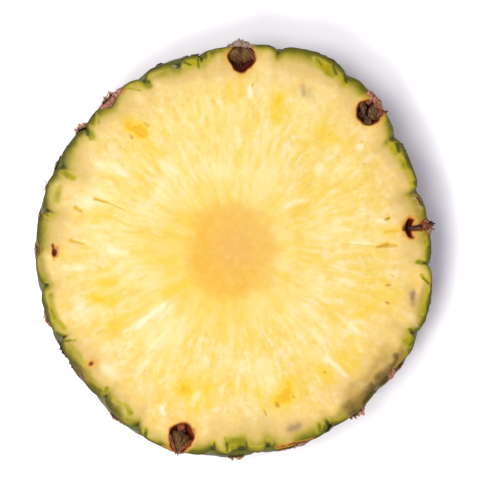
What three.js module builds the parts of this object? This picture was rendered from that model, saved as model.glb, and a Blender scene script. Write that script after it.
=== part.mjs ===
// A round slice cut straight across an unpeeled pineapple: rind outside, flesh and core inside.
// Millimetres, +Z up. The origin is the middle of the underside. +X is right and +Y is away
// from someone looking down on the upper cut face.
import * as THREE from "three";

// The whole slice
const THICKNESS = 15;
const MEAN_RADIUS = 55.4;
const LEAN = 0.8; // how far the underside is shifted, as the cut isn't square to the fruit
const LEAN_TOWARDS = 225; // degrees, counted from +X as all angles here

// Long waves that make the outline uneven: how many to a turn, their size, where the first peaks
const OUTLINE_WAVES = [
  { perTurn: 1, size: 0.75, peak: -50 },
  { perTurn: 2, size: 1.35, peak: 79 },
  { perTurn: 3, size: 0.6, peak: -54 },
  { perTurn: 4, size: 0.8, peak: -22 },
  { perTurn: 5, size: 0.3, peak: -19 },
  { perTurn: 6, size: 0.25, peak: -2 },
  { perTurn: 8, size: 0.25, peak: 21 },
];

// The eyes (fruitlets) of the rind. Each is an angle in degrees round the slice and a rise:
// how far the middle of the eye lies above (+) or below (-) the upper cut face.
const EYES = [
  [6.5, -1], [26, 6], [46, -1], [67, 5], [89, 0], [104, 10.5], [112, -10],
  [130, -3.8], [148, -9.5], [162, 9], [180, -3.4], [199, 8], [218, -3.5], [235, -9.5],
  [253, 0.5], [268, -10], [277, 11], [289, -5], [307, 5.5], [325, -5], [345, 4.5],
];
// The same ring of eyes comes again below and above, turned a little by the fruit's spiral
const SPIRAL_RISE = 21.8;
const SPIRAL_TURN = -7.7;

// The rind's relief
const SEAM_DEPTH = 1.5; // groove between neighbouring eyes
const SEAM_WIDTH = 1.9; // half the width at about a third of the depth
const BRACT_SWELL = 0.9; // the pointed scale that covers the lower half of an eye
const BRACT_TIP = 1.8; // height of its tip above the middle of the eye
const BRACT_FOOT = 8; // its foot lies this far below the tip
const DIMPLE_DEPTH = 1.4; // hollow above the tip, where the flower was
const DIMPLE_RISE = 4;

// The blossom cup, a small hollow behind each eye that a cut near its middle opens
const CUP_HALF_WIDTH = 3.9;
const CUP_HALF_LENGTH = 3.8;
const CUP_HALF_HEIGHT = 3.6;
const CUP_INSET = 4.3; // middle of the cup, inwards from the rind's smooth outline
const CUP_EDGE = 0.4; // share of the opening that its sloping edge takes up

// The flesh: the core stands a little higher than the flesh round it
const CORE_RADIUS = 12.4;
const CORE_SWELL = 0.25;
const FLESH_WAVE = 0.18;

// How finely the surfaces are divided
const SEGMENTS = 240;
const SIDE_ROWS = 11;
const RIM_INSETS = [9.4, 7.4, 5.8, 4.4, 3.1, 1.9, 0.9]; // rings this far in from the rind
const RIM_BLEND = 10; // the rim's lobes have died away this far in
const INNER_RINGS = [
  { radius: 6, count: 15 },
  { radius: 12.4, count: 30 },
  { radius: 20, count: 60 },
  { radius: 28, count: 60 },
  { radius: 36, count: 120 },
  { radius: 42, count: 120 },
];
const UNDERSIDE_RINGS = [
  { radius: 36, count: 60 },
  { radius: 16, count: 15 },
];

const { PI, cos, exp, hypot, max, min, round, sin, sqrt } = Math;
const radians = THREE.MathUtils.degToRad;
const smoothstep = THREE.MathUtils.smoothstep;

/** Smooth outline radius at an angle in radians, without the eyes. */
function outlineRadius(angle) {
  let radius = MEAN_RADIUS;
  for (const { perTurn, size, peak } of OUTLINE_WAVES) {
    radius += size * cos(perTurn * (angle - radians(peak)));
  }
  return radius;
}

/** Every eye that reaches the slice, as an angle in radians and a height above the underside. */
function listEyes() {
  const eyes = [];
  for (const turn of [-2, -1, 0, 1]) {
    for (const [angle, rise] of EYES) {
      eyes.push({
        angle: radians(angle + turn * SPIRAL_TURN),
        height: THICKNESS + rise + turn * SPIRAL_RISE,
      });
    }
  }
  return eyes;
}

const eyes = listEyes();

/** Sideways and upward distance from the middle of an eye to a place on the rind. */
function offsetFromEye(eye, angle, height) {
  const turn = angle - eye.angle;
  const wrapped = turn - 2 * PI * round(turn / (2 * PI));
  return { across: MEAN_RADIUS * wrapped, up: height - eye.height };
}

/** Place on the rind as seen from its nearest eye, and its distance to that eye's seams. */
function findEye(angle, height) {
  const offsets = eyes.map((eye) => offsetFromEye(eye, angle, height));
  const squares = offsets.map(({ across, up }) => across ** 2 + up ** 2);
  const nearest = squares.indexOf(min(...squares));
  const offset = offsets[nearest];
  let toSeam = Infinity;
  offsets.forEach((other, index) => {
    const apart = hypot(other.across - offset.across, other.up - offset.up);
    if (index !== nearest) {
      toSeam = min(toSeam, (squares[index] - squares[nearest]) / (2 * apart));
    }
  });
  return { offset, toSeam };
}

/** Relief of the rind: grooves at the seams, a scale on each eye and a hollow above its tip. */
function rindRelief(angle, height) {
  const { offset, toSeam } = findEye(angle, height);
  const { across, up } = offset;
  const below = max(0, BRACT_TIP - up);
  const width = 1.3 + 0.35 * below;
  const ramp = smoothstep(BRACT_FOOT - below, 0, BRACT_FOOT);
  const cutOff = exp(-((max(0, up - BRACT_TIP) / 0.9) ** 2));
  const bract = BRACT_SWELL * ramp * cutOff * exp(-((across / width) ** 2));
  const dimple = DIMPLE_DEPTH * exp(-((across / 3) ** 2) - ((up - DIMPLE_RISE) / 2) ** 2);
  return bract - dimple - SEAM_DEPTH * exp(-((toSeam / SEAM_WIDTH) ** 2));
}

/** Point of the rind's outer surface. */
function rindPoint(angle, height) {
  const radius = outlineRadius(angle) + rindRelief(angle, height);
  const shift = LEAN * (1 - height / THICKNESS);
  const x = radius * cos(angle) + shift * cos(radians(LEAN_TOWARDS));
  const y = radius * sin(angle) + shift * sin(radians(LEAN_TOWARDS));
  return new THREE.Vector3(x, y, height);
}

/** How deep the cut face is hollowed by the blossom cups that the cut opens. */
function cupDepth(x, y) {
  let depth = 0;
  for (const eye of eyes) {
    const rise = eye.height - THICKNESS;
    const section = 1 - (rise / CUP_HALF_HEIGHT) ** 2;
    if (section <= 0) {
      continue;
    }
    const middle = outlineRadius(eye.angle) - CUP_INSET;
    const inward = (x * cos(eye.angle) + y * sin(eye.angle) - middle) / CUP_HALF_LENGTH;
    const across = (y * cos(eye.angle) - x * sin(eye.angle)) / CUP_HALF_WIDTH;
    const inside = 1 - inward ** 2 - across ** 2;
    if (inside > 0) {
      const edge = smoothstep(section - 1 + inside, 0, CUP_EDGE);
      depth = max(depth, edge * (CUP_HALF_HEIGHT * sqrt(inside) - rise));
    }
  }
  return depth;
}

/** Height of the upper cut face. */
function faceHeight(x, y) {
  const radius = hypot(x, y);
  const angle = Math.atan2(y, x);
  const core = CORE_SWELL * (1 - smoothstep(radius, 0.8 * CORE_RADIUS, 1.3 * CORE_RADIUS));
  const wave = FLESH_WAVE * sin(5 * angle + 0.09 * radius) * sin(0.17 * radius) - FLESH_WAVE;
  const fade = 1 - smoothstep(radius, 44, 54);
  return THICKNESS + (core + wave) * fade - cupDepth(x, y);
}

/** Surface of rings of points, each joined to the next. The first and last are single points. */
class RingSurface {
  constructor(firstPoint) {
    this.points = [firstPoint];
    this.triangles = [];
    this.last = { start: 0, count: 1 };
  }

  /** Adds a ring of points and joins it to the one before, with any two counts. */
  addRing(ringPoints) {
    const next = { start: this.points.length, count: ringPoints.length };
    this.points.push(...ringPoints);
    this.join(this.last, next);
    this.last = next;
  }

  /** Fills the band between two rings; a ring of one point is joined as a fan. */
  join(from, to) {
    const fromSteps = from.count > 1 ? from.count : 0;
    const toSteps = to.count > 1 ? to.count : 0;
    let fromStep = 0;
    let toStep = 0;
    while (fromStep < fromSteps || toStep < toSteps) {
      const fromTurn = fromStep < fromSteps ? (fromStep + 0.5) / fromSteps : Infinity;
      const toTurn = toStep < toSteps ? (toStep + 0.5) / toSteps : Infinity;
      const here = from.start + (fromStep % from.count);
      const there = to.start + (toStep % to.count);
      if (toTurn <= fromTurn) {
        this.triangles.push(here, there, to.start + ((toStep + 1) % to.count));
        toStep += 1;
      } else {
        this.triangles.push(here, there, from.start + ((fromStep + 1) % from.count));
        fromStep += 1;
      }
    }
  }

  toGeometry() {
    const geometry = new THREE.BufferGeometry();
    const positions = this.points.flatMap((point) => point.toArray());
    geometry.setAttribute("position", new THREE.Float32BufferAttribute(positions, 3));
    geometry.setIndex(this.triangles);
    geometry.computeVertexNormals();
    return geometry;
  }
}

/** Evenly turned ring of points from a function of the angle. */
function ring(count, pointAt) {
  return Array.from({ length: count }, (_, step) => pointAt((2 * PI * step) / count));
}

/** Ring on a face, at a radius that depends on the angle and a height that depends on x and y. */
function faceRing(count, radiusAt, heightAt) {
  return ring(count, (angle) => {
    const x = radiusAt(angle) * cos(angle);
    const y = radiusAt(angle) * sin(angle);
    return new THREE.Vector3(x, y, heightAt(x, y));
  });
}

/** Radius of the rim ring that lies a given distance in from the rind. */
function rimRadius(angle, inset) {
  const lobes = rindRelief(angle, THICKNESS) * max(0, 1 - inset / RIM_BLEND);
  return outlineRadius(angle) + lobes - inset;
}

/** Radius function of a ring that keeps the smooth outline's form at a smaller size. */
function scaledOutline(radius) {
  return (angle) => (radius / MEAN_RADIUS) * outlineRadius(angle);
}

/** The whole skin of the slice: upper face outwards, rind downwards, underside inwards. */
function makeSliceGeometry() {
  const surface = new RingSurface(new THREE.Vector3(0, 0, faceHeight(0, 0)));
  for (const { radius, count } of INNER_RINGS) {
    surface.addRing(faceRing(count, scaledOutline(radius), faceHeight));
  }
  for (const inset of RIM_INSETS) {
    surface.addRing(faceRing(SEGMENTS, (angle) => rimRadius(angle, inset), faceHeight));
  }
  for (let row = 0; row <= SIDE_ROWS; row += 1) {
    const height = THICKNESS * (1 - row / SIDE_ROWS);
    surface.addRing(ring(SEGMENTS, (angle) => rindPoint(angle, height)));
  }
  for (const { radius, count } of UNDERSIDE_RINGS) {
    surface.addRing(faceRing(count, scaledOutline(radius), () => 0));
  }
  surface.addRing([new THREE.Vector3(0, 0, 0)]);
  return surface.toGeometry();
}

const flesh = new THREE.MeshStandardMaterial({ color: 0xf6dc86, roughness: 0.45, metalness: 0 });
const slice = new THREE.Mesh(makeSliceGeometry(), flesh);
slice.name = "pineapple_slice";

const pineapple = new THREE.Group();
pineapple.add(slice);

export default pineapple;
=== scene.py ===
"""Looks of a round slice cut straight across an unpeeled pineapple.

The shapes are worked out in millimetres, in the frame of the CAD model: +Z up, the origin in
the middle of the underside, angles in degrees counted from +X. Meshes are made in metres.
Marks on the upper cut face are placed in steps of the 500 by 493 frame that the camera fills:
columns to the right, rows downwards, each step as wide as one STEP on the face.
"""

import itertools
import math

import bpy
import numpy as np
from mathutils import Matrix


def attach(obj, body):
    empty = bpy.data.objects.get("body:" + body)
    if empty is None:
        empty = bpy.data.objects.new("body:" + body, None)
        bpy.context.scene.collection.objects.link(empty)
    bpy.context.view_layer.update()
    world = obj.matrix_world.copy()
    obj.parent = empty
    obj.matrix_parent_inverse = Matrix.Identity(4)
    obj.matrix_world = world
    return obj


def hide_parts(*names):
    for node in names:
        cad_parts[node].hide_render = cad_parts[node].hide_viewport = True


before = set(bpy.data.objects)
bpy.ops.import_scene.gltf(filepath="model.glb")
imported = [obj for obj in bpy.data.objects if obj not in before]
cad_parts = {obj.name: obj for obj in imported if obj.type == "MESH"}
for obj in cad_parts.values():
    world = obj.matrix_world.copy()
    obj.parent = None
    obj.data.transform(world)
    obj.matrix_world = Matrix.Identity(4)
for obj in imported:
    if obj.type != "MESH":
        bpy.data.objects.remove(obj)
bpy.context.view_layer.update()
MM = 0.001

# The slice, with the same driving sizes as its CAD solid
THICKNESS = 15.0
MEAN_RADIUS = 55.4
LEAN = 0.8
LEAN_TOWARDS = 225.0
OUTLINE_WAVES = (  # waves to a turn, size, angle of the first crest
    (1, 0.75, -50.0),
    (2, 1.35, 79.0),
    (3, 0.6, -54.0),
    (4, 0.8, -22.0),
    (5, 0.3, -19.0),
    (6, 0.25, -2.0),
    (8, 0.25, 21.0),
)
EYES = (  # angle of each eye of the rind, and how far its middle lies above the upper cut face
    (6.5, -1), (26, 6), (46, -1), (67, 5), (89, 0), (104, 10.5), (112, -10),
    (130, -3.8), (148, -9.5), (162, 9), (180, -3.4), (199, 8), (218, -3.5), (235, -9.5),
    (253, 0.5), (268, -10), (277, 11), (289, -5), (307, 5.5), (325, -5), (345, 4.5),
)
SPIRAL_RISE = 21.8
SPIRAL_TURN = -7.7

# Relief of the rind
SEAM_DEPTH = 0.95  # narrow groove between neighbouring eyes
SEAM_WIDTH = 0.7
VALLEY_DEPTH = 0.95  # wide dip round the groove
VALLEY_WIDTH = 2.3
SEAM_WANDER = 0.9  # how far the seams stray from straight lines
BRACT_SWELL = 0.5  # rise under the pointed scale that covers the lower half of an eye
BRACT_TIP = 1.8  # height of the scale's tip above the middle of the eye
BRACT_FOOT = 8.0  # its foot lies this far below the tip
DIMPLE_DEPTH = 1.1  # hollow above the tip, where the flower was
DIMPLE_RISE = 4.0
ROUGHNESS = 0.16
RIND_RISE = 0.5  # makes up for what the seams and dimples take away

# How finely the body is divided
SEGMENTS = 900
SIDE_ROWS = 26
RIM_BLEND = 12.0  # the rim's lobes have died away this far in

# The core
CORE_RADIUS = 12.5
CORE_CENTRE = (-0.5, -0.3)

# The frame's steps on the upper cut face
STEP = 0.276
CENTRE_COLUMN = 234.0
CENTRE_ROW = 249.0
FRAME_WIDTH = 500
FRAME_HEIGHT = 493


# ---------------------------------------------------------------- numbers and noise

def smooth_step(value, low, high):
    """0 below low, 1 above high, and an S-shaped cubic between them."""
    share = np.clip((value - low) / (high - low), 0.0, 1.0)
    return share * share * (3.0 - 2.0 * share)


def bell(value, width):
    """Bell curve that is 1 at 0 and falls to about a third at the given width."""
    return np.exp(-((value / width) ** 2))


def turn_between(angle, other):
    """Signed turn in radians from one angle to another, the short way round."""
    return (angle - other + math.pi) % (2.0 * math.pi) - math.pi


# Large odd numbers that mix the bits of a place and a seed into a random number
PLACE_MIXERS = np.array([73856093, 19349663, 83492791])
SEED_MIXER = 668265263
BIT_MIXER = 1274126177


def fixed_random(cells, seed):
    """The same random number from -1 to 1 each time for a whole-number place: its bits are mixed
    and the lowest 16 of them taken."""
    mixed = (cells * PLACE_MIXERS).sum(axis=-1) + seed * SEED_MIXER
    mixed = (mixed ^ (mixed >> 13)) * BIT_MIXER
    mixed = mixed ^ (mixed >> 16)
    return (mixed & 65535) / 32767.5 - 1.0


def noise(points, size, seed):
    """Smooth noise from -1 to 1: random values at the corners of a grid of that size, blended
    between the eight corners round each point."""
    place = np.asarray(points, dtype=float) / size
    cell = np.floor(place).astype(np.int64)
    share = smooth_step(place - cell, 0.0, 1.0)
    total = np.zeros(place.shape[:-1])
    for corner in itertools.product((0, 1), repeat=3):
        weight = np.prod(np.where(np.array(corner) == 1, share, 1.0 - share), axis=-1)
        total += weight * fixed_random(cell + np.array(corner), seed)
    return total


def layered_noise(points, size, seed, layers=3):
    """Noise with finer and weaker noise added: each layer has half the size and half the height."""
    total = 0.0
    for layer in range(layers):
        total = total + noise(points, size / 2**layer, seed + layer) / 2**layer
    return total / (2.0 - 0.5 ** (layers - 1))


def place_of(x, y, z):
    """Points as one array, with x, y and z along its last axis."""
    return np.stack(np.broadcast_arrays(x, y, z), axis=-1)


def from_steps(column, row):
    """Place on the upper cut face, in millimetres, from a column and a row of the frame."""
    return STEP * (column - CENTRE_COLUMN), STEP * (CENTRE_ROW - row)


# ---------------------------------------------------------------- the rind

def list_eyes():
    """Angles in radians and heights of the middles of all eyes near the slice: the ring of eyes
    comes again every spiral rise, turned by the spiral turn."""
    angles = []
    heights = []
    for turn in (-2, -1, 0, 1):
        for angle, rise in EYES:
            angles.append(angle + turn * SPIRAL_TURN)
            heights.append(THICKNESS + rise + turn * SPIRAL_RISE)
    return np.radians(angles), np.array(heights)


EYE_ANGLES, EYE_HEIGHTS = list_eyes()


def outline_radius(angle):
    """Smooth outline: the mean radius plus a few cosine waves."""
    radius = MEAN_RADIUS + 0.0 * angle
    for per_turn, size, crest in OUTLINE_WAVES:
        radius = radius + size * np.cos(per_turn * (angle - np.radians(crest)))
    return radius


def find_eye(angle, height):
    """For places on the rind: sideways and upward distance from the middle of the nearest eye,
    and the distance to that eye's border (half-way planes to all its neighbours)."""
    across = MEAN_RADIUS * turn_between(angle[:, None], EYE_ANGLES)
    up = height[:, None] - EYE_HEIGHTS
    squares = across**2 + up**2
    nearest = squares.argmin(axis=1)
    rows = np.arange(len(angle))
    own_across = across[rows, nearest]
    own_up = up[rows, nearest]
    apart = np.hypot(across - own_across[:, None], up - own_up[:, None])
    apart[rows, nearest] = np.inf
    to_seam = (squares - squares[rows, nearest][:, None]) / (2.0 * apart)
    to_seam[rows, nearest] = np.inf
    return own_across, own_up, to_seam.min(axis=1)


def drum_place(angle, height):
    """Place on a plain drum of the mean radius, on which the rind's noises are read."""
    return place_of(MEAN_RADIUS * np.cos(angle), MEAN_RADIUS * np.sin(angle), height)


def wander(angle, height):
    """Small sideways and upward shifts that make the seams run unevenly."""
    place = drum_place(angle, height)
    sideways = SEAM_WANDER * layered_noise(place, 5.0, seed=11)
    upward = SEAM_WANDER * layered_noise(place, 5.0, seed=17)
    return angle + sideways / MEAN_RADIUS, height + upward


def rind_relief(angle, height):
    """Height of the rind over the smooth outline: a narrow groove and a wide valley at each
    seam, a swelling under the scale of each eye, a dimple above its tip, and fine roughness."""
    across, up, to_seam = find_eye(*wander(angle, height))
    below = np.maximum(0.0, BRACT_TIP - up)
    width = 1.3 + 0.35 * below
    ramp = smooth_step(BRACT_FOOT - below, 0.0, BRACT_FOOT)
    cut_off = bell(np.maximum(0.0, up - BRACT_TIP), 0.9)
    swelling = BRACT_SWELL * ramp * cut_off * bell(across, width)
    dimple = DIMPLE_DEPTH * bell(across, 3.0) * bell(up - DIMPLE_RISE, 2.0)
    seams = SEAM_DEPTH * bell(to_seam, SEAM_WIDTH) + VALLEY_DEPTH * bell(to_seam, VALLEY_WIDTH)
    rough = ROUGHNESS * layered_noise(drum_place(angle, height), 2.4, seed=23)
    return swelling - dimple - seams + rough + RIND_RISE


def rim_relief(angle, height):
    """The rind's relief at one level, looked up from a finely divided turn."""
    turn = np.linspace(-math.pi, math.pi, 4 * SEGMENTS + 1)
    relief = rind_relief(turn, np.full_like(turn, height))
    return np.interp(turn_between(angle, 0.0), turn, relief)


def lean_shift(height):
    """Sideways shift of a level of the slice: nothing at the upper face, all at the underside."""
    shift = LEAN * (1.0 - height / THICKNESS)
    towards = math.radians(LEAN_TOWARDS)
    return shift * math.cos(towards), shift * math.sin(towards)


def rind_place(angle, radius, height):
    """Place at an angle and a radius from the middle of its own level of the leaning slice."""
    shift_x, shift_y = lean_shift(height)
    return place_of(radius * np.cos(angle) + shift_x, radius * np.sin(angle) + shift_y, height)


# ---------------------------------------------------------------- meshes

def join_rings(start_a, count_a, start_b, count_b):
    """Triangles between two closed rings with any counts: each edge of one ring is joined to the
    point of the other that is level with it. A ring of one point is joined as a fan."""
    steps_a = count_a if count_a > 1 else 0
    steps_b = count_b if count_b > 1 else 0
    turns_a = (np.arange(steps_a) + 0.5) / max(steps_a, 1)
    turns_b = (np.arange(steps_b) + 0.5) / max(steps_b, 1)
    edge_b = np.arange(steps_b)
    tip_a = np.searchsorted(turns_a, turns_b, side="left") % count_a
    edge_a = np.arange(steps_a)
    tip_b = np.searchsorted(turns_b, turns_a, side="right") % count_b
    fan_b = np.stack([start_a + tip_a, start_b + edge_b, start_b + (edge_b + 1) % count_b], axis=1)
    fan_a = np.stack([start_a + edge_a, start_b + tip_b, start_a + (edge_a + 1) % count_a], axis=1)
    return np.concatenate([fan_b, fan_a])


def join_all_rings(counts):
    """Triangles of a closed surface made of rings, each joined to the next."""
    starts = np.concatenate([[0], np.cumsum(counts)[:-1]])
    bands = [
        join_rings(starts[i], counts[i], starts[i + 1], counts[i + 1])
        for i in range(len(counts) - 1)
    ]
    return np.concatenate(bands)


def make_object(name, points, faces, material, attributes=None):
    """Mesh object from points in millimetres and faces, with float attributes on its points."""
    mesh = bpy.data.meshes.new(name)
    mesh.from_pydata((points * MM).tolist(), [], faces.tolist())
    mesh.polygons.foreach_set("use_smooth", np.ones(len(mesh.polygons), dtype=bool))
    for label, values in (attributes or {}).items():
        layer = mesh.attributes.new(label, "FLOAT", "POINT")
        layer.data.foreach_set("value", np.ascontiguousarray(values, dtype=np.float32))
    mesh.materials.append(material)
    mesh.update()
    piece = bpy.data.objects.new(name, mesh)
    bpy.context.scene.collection.objects.link(piece)
    return piece


class Leaves:
    """Thin curved leaves gathered into one object. Each is a grid of rows from its base to its
    tip; a Solidify modifier gives them all their thickness."""

    def __init__(self):
        self.points = []
        self.faces = []
        self.attributes = {"side": [], "along": [], "tint": [], "foot": []}
        self.count = 0

    def add(self, grid, tint, foot=0.0):
        """Adds a grid of points, shaped rows by columns by 3, with one tint. The foot says how
        green its base is."""
        rows, columns = grid.shape[:2]
        first = self.count + np.arange(rows - 1)[:, None] * columns + np.arange(columns - 1)
        corners = np.stack([first, first + 1, first + columns + 1, first + columns], axis=-1)
        along, side = np.meshgrid(
            np.linspace(0.0, 1.0, rows), np.linspace(-1.0, 1.0, columns), indexing="ij")
        self.points.append(grid.reshape(-1, 3))
        self.faces.append(corners.reshape(-1, 4))
        self.attributes["side"].append(side.ravel())
        self.attributes["along"].append(along.ravel())
        self.attributes["tint"].append(np.full(rows * columns, tint))
        self.attributes["foot"].append(np.full(rows * columns, foot))
        self.count += rows * columns

    def build(self, name, material, thickness):
        """One object of all the leaves, with their thickness in millimetres."""
        attributes = {label: np.concatenate(parts) for label, parts in self.attributes.items()}
        piece = make_object(
            name, np.concatenate(self.points), np.concatenate(self.faces), material, attributes)
        solidify = piece.modifiers.new("thickness", "SOLIDIFY")
        solidify.thickness = thickness * MM
        solidify.offset = 0.0
        return piece


def make_shells(name, shells, tint, material):
    """Closed shells, each given as points and faces, gathered into one object of one tint."""
    points = np.concatenate([points for points, _ in shells])
    starts = np.cumsum([0] + [len(points) for points, _ in shells[:-1]])
    faces = np.concatenate([faces + start for (_, faces), start in zip(shells, starts)])
    plain = np.zeros(len(points))
    attributes = {"side": plain, "along": plain + 0.5, "tint": plain + tint, "foot": plain}
    return make_object(name, points, faces, material, attributes)


# ---------------------------------------------------------------- marks on the upper cut face

# Blossom cups opened by the cut: middle, half width across, half length, depth, and how pointed
# the end is (its outer end, or its inner end if the number is negative)
UPPER_CUPS = (
    ((241.8, 58.5), 3.9, 3.9, 3.8, -0.32),
    ((369.3, 112.3), 3.8, 3.6, 3.4, 0.10),
    ((180.8, 438.0), 3.8, 4.4, 3.6, 0.34),
    ((54.3, 252.6), 1.15, 0.72, 1.2, 0.0),
    ((91.2, 363.6), 0.5, 0.7, 1.3, 0.0),
)
CUP_WALL = 0.9  # width of a cup's sloping wall
FULL_CUP_WIDTH = 3.4  # a cup with less half width than this is browned less and has less painted shade
# The crescent-shaped cup: an oval hollow less an oval piece of flesh that stands in it. Middle,
# half length, half width and the hollow's depth.
CRESCENT = ((412.2, 228.5), 1.9, 2.9, 3.0)
CRESCENT_FLESH = ((421.4, 228.9), 2.7, 3.2)

# Slits and holes left by seed chambers, as soft strips: both ends (columns and rows), half width in
# millimetres, strength (where it is highest the slit gets painted shade over a darker brown), and
# how much of the width is gone at the second end
SLITS = (
    ((388.0, 244.4), (377.0, 246.8), 0.78, 1.35, 0.75),
    ((388.0, 244.4), (397.5, 244.8), 0.90, 0.95, 0.7),
    ((376.0, 246.5), (340.0, 243.0), 0.20, 0.55),
    ((385.5, 231.5), (400.0, 229.9), 0.24, 0.8),
    ((386.5, 219.0), (389.5, 217.6), 0.38, 1.7),
    ((95.0, 198.5), (108.0, 202.6), 0.50, 1.0, 0.45),
    ((104.0, 201.0), (126.0, 209.5), 0.27, 0.85, 0.6),
    ((76.0, 207.0), (82.0, 211.0), 0.60, 0.9, 0.3),
    ((71.5, 240.3), (86.0, 244.4), 0.52, 1.0, 0.75),
    ((120.0, 145.0), (122.5, 148.0), 0.26, 0.6),
    ((264.5, 410.0), (266.5, 414.0), 0.34, 0.9),
    ((392.0, 274.8), (394.5, 277.0), 0.26, 0.7),
    ((252.8, 86.0), (254.2, 83.5), 0.34, 0.8),
    ((361.3, 142.5), (362.8, 142.0), 0.34, 0.8),
    ((86.0, 254.5), (87.0, 254.2), 0.30, 0.6),
    ((115.0, 258.0), (127.0, 258.3), 0.18, 0.5),
)

# Riper, deeper yellow flesh, as above
RIPE_PATCHES = (
    ((130.0, 125.0), (142.0, 131.0), 2.8, 1.40),
    ((148.0, 144.0), (160.0, 154.0), 2.6, 0.7),
    ((274.0, 118.0), (280.0, 98.0), 1.8, 0.95),
    ((240.5, 80.0), (241.0, 96.0), 1.3, 0.75),
    ((228.0, 84.0), (230.0, 100.0), 1.6, 0.55),
    ((331.0, 137.0), (350.0, 147.0), 2.0, 0.75),
    ((318.0, 130.0), (332.0, 134.0), 1.8, 0.5),
    ((92.0, 299.0), (116.0, 304.0), 1.6, 0.95),
    ((100.0, 283.0), (114.0, 283.0), 1.5, 0.8),
    ((113.0, 325.0), (184.0, 284.0), 1.4, 0.6),
    ((185.0, 387.0), (193.0, 403.0), 2.5, 1.25),
    ((209.0, 386.0), (207.5, 404.0), 1.2, 0.8),
    ((281.0, 400.0), (291.0, 387.0), 2.8, 1.25),
    ((300.0, 390.0), (303.0, 396.0), 1.5, 0.6),
    ((98.0, 213.0), (110.0, 215.0), 1.5, 0.6),
    ((384.0, 286.0), (392.0, 304.0), 2.2, 0.7),
    ((354.0, 340.0), (358.0, 352.0), 1.6, 0.75),
    ((322.0, 372.0), (331.0, 378.0), 1.8, 0.8),
    ((343.0, 360.0), (352.0, 368.0), 2.6, 0.7),
    ((152.0, 260.0), (172.0, 264.0), 2.4, 0.5),
    ((404.0, 229.0), (386.0, 231.0), 1.7, 0.75),
    ((62.0, 254.0), (56.0, 248.0), 1.5, 0.5),
    ((395.0, 292.0), (360.0, 312.0), 1.8, 0.5),
    ((258.0, 388.0), (262.0, 408.0), 1.2, 0.45),
)

# Pale streaks and blotches, as above; the one by the small cup on the left is a painted wet
# highlight
PALE_STREAKS_AND_HIGHLIGHT = (
    ((139.0, 326.0), (164.0, 304.0), 0.9, 1.0),
    ((160.0, 318.0), (174.0, 304.0), 0.6, 0.5),
    ((251.0, 88.0), (251.0, 95.0), 0.75, 1.0),
    ((156.0, 196.0), (170.0, 170.0), 1.2, 0.5),
    ((100.0, 164.0), (124.0, 172.0), 1.6, 0.7),
    ((165.0, 162.0), (174.0, 172.0), 1.5, 0.75),
    ((316.0, 172.0), (322.0, 166.0), 1.1, 0.8),
    ((286.0, 206.0), (306.0, 200.0), 0.8, 0.6),
    ((336.0, 278.0), (352.0, 284.0), 1.3, 0.45),
    ((262.0, 358.0), (266.0, 380.0), 0.8, 0.45),
    ((308.0, 326.0), (322.0, 342.0), 1.0, 0.4),
    ((70.0, 268.0), (82.0, 268.0), 1.2, 0.6),
    # A painted wet highlight by the small cup
    ((51.0, 246.5), (50.8, 251.0), 0.45, 1.0),
    ((66.0, 268.0), (76.0, 266.0), 1.4, 0.5),
    ((84.0, 202.0), (100.0, 196.0), 1.8, 0.6),
    ((110.0, 250.0), (122.0, 254.0), 1.5, 0.6),
    ((150.0, 350.0), (164.0, 338.0), 2.0, 0.4),
    ((106.0, 368.0), (112.0, 372.0), 1.6, 0.7),
    ((78.0, 300.0), (82.0, 316.0), 2.2, 0.5),
    ((352.0, 324.0), (358.0, 332.0), 0.8, 0.6),
    ((355.0, 336.0), (362.0, 352.0), 0.7, 0.4),
    ((327.0, 358.0), (345.0, 376.0), 0.7, 0.7),
    ((355.0, 243.0), (368.0, 243.5), 1.0, 0.6),
    ((376.0, 219.0), (384.0, 221.0), 0.6, 0.9),
    ((357.0, 147.0), (360.0, 147.0), 0.7, 0.8),
    ((236.0, 130.0), (238.0, 142.0), 0.9, 0.6),
    ((162.0, 408.0), (164.0, 414.0), 0.8, 0.9),
    ((192.0, 404.0), (197.0, 396.0), 0.9, 0.6),
)

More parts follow.
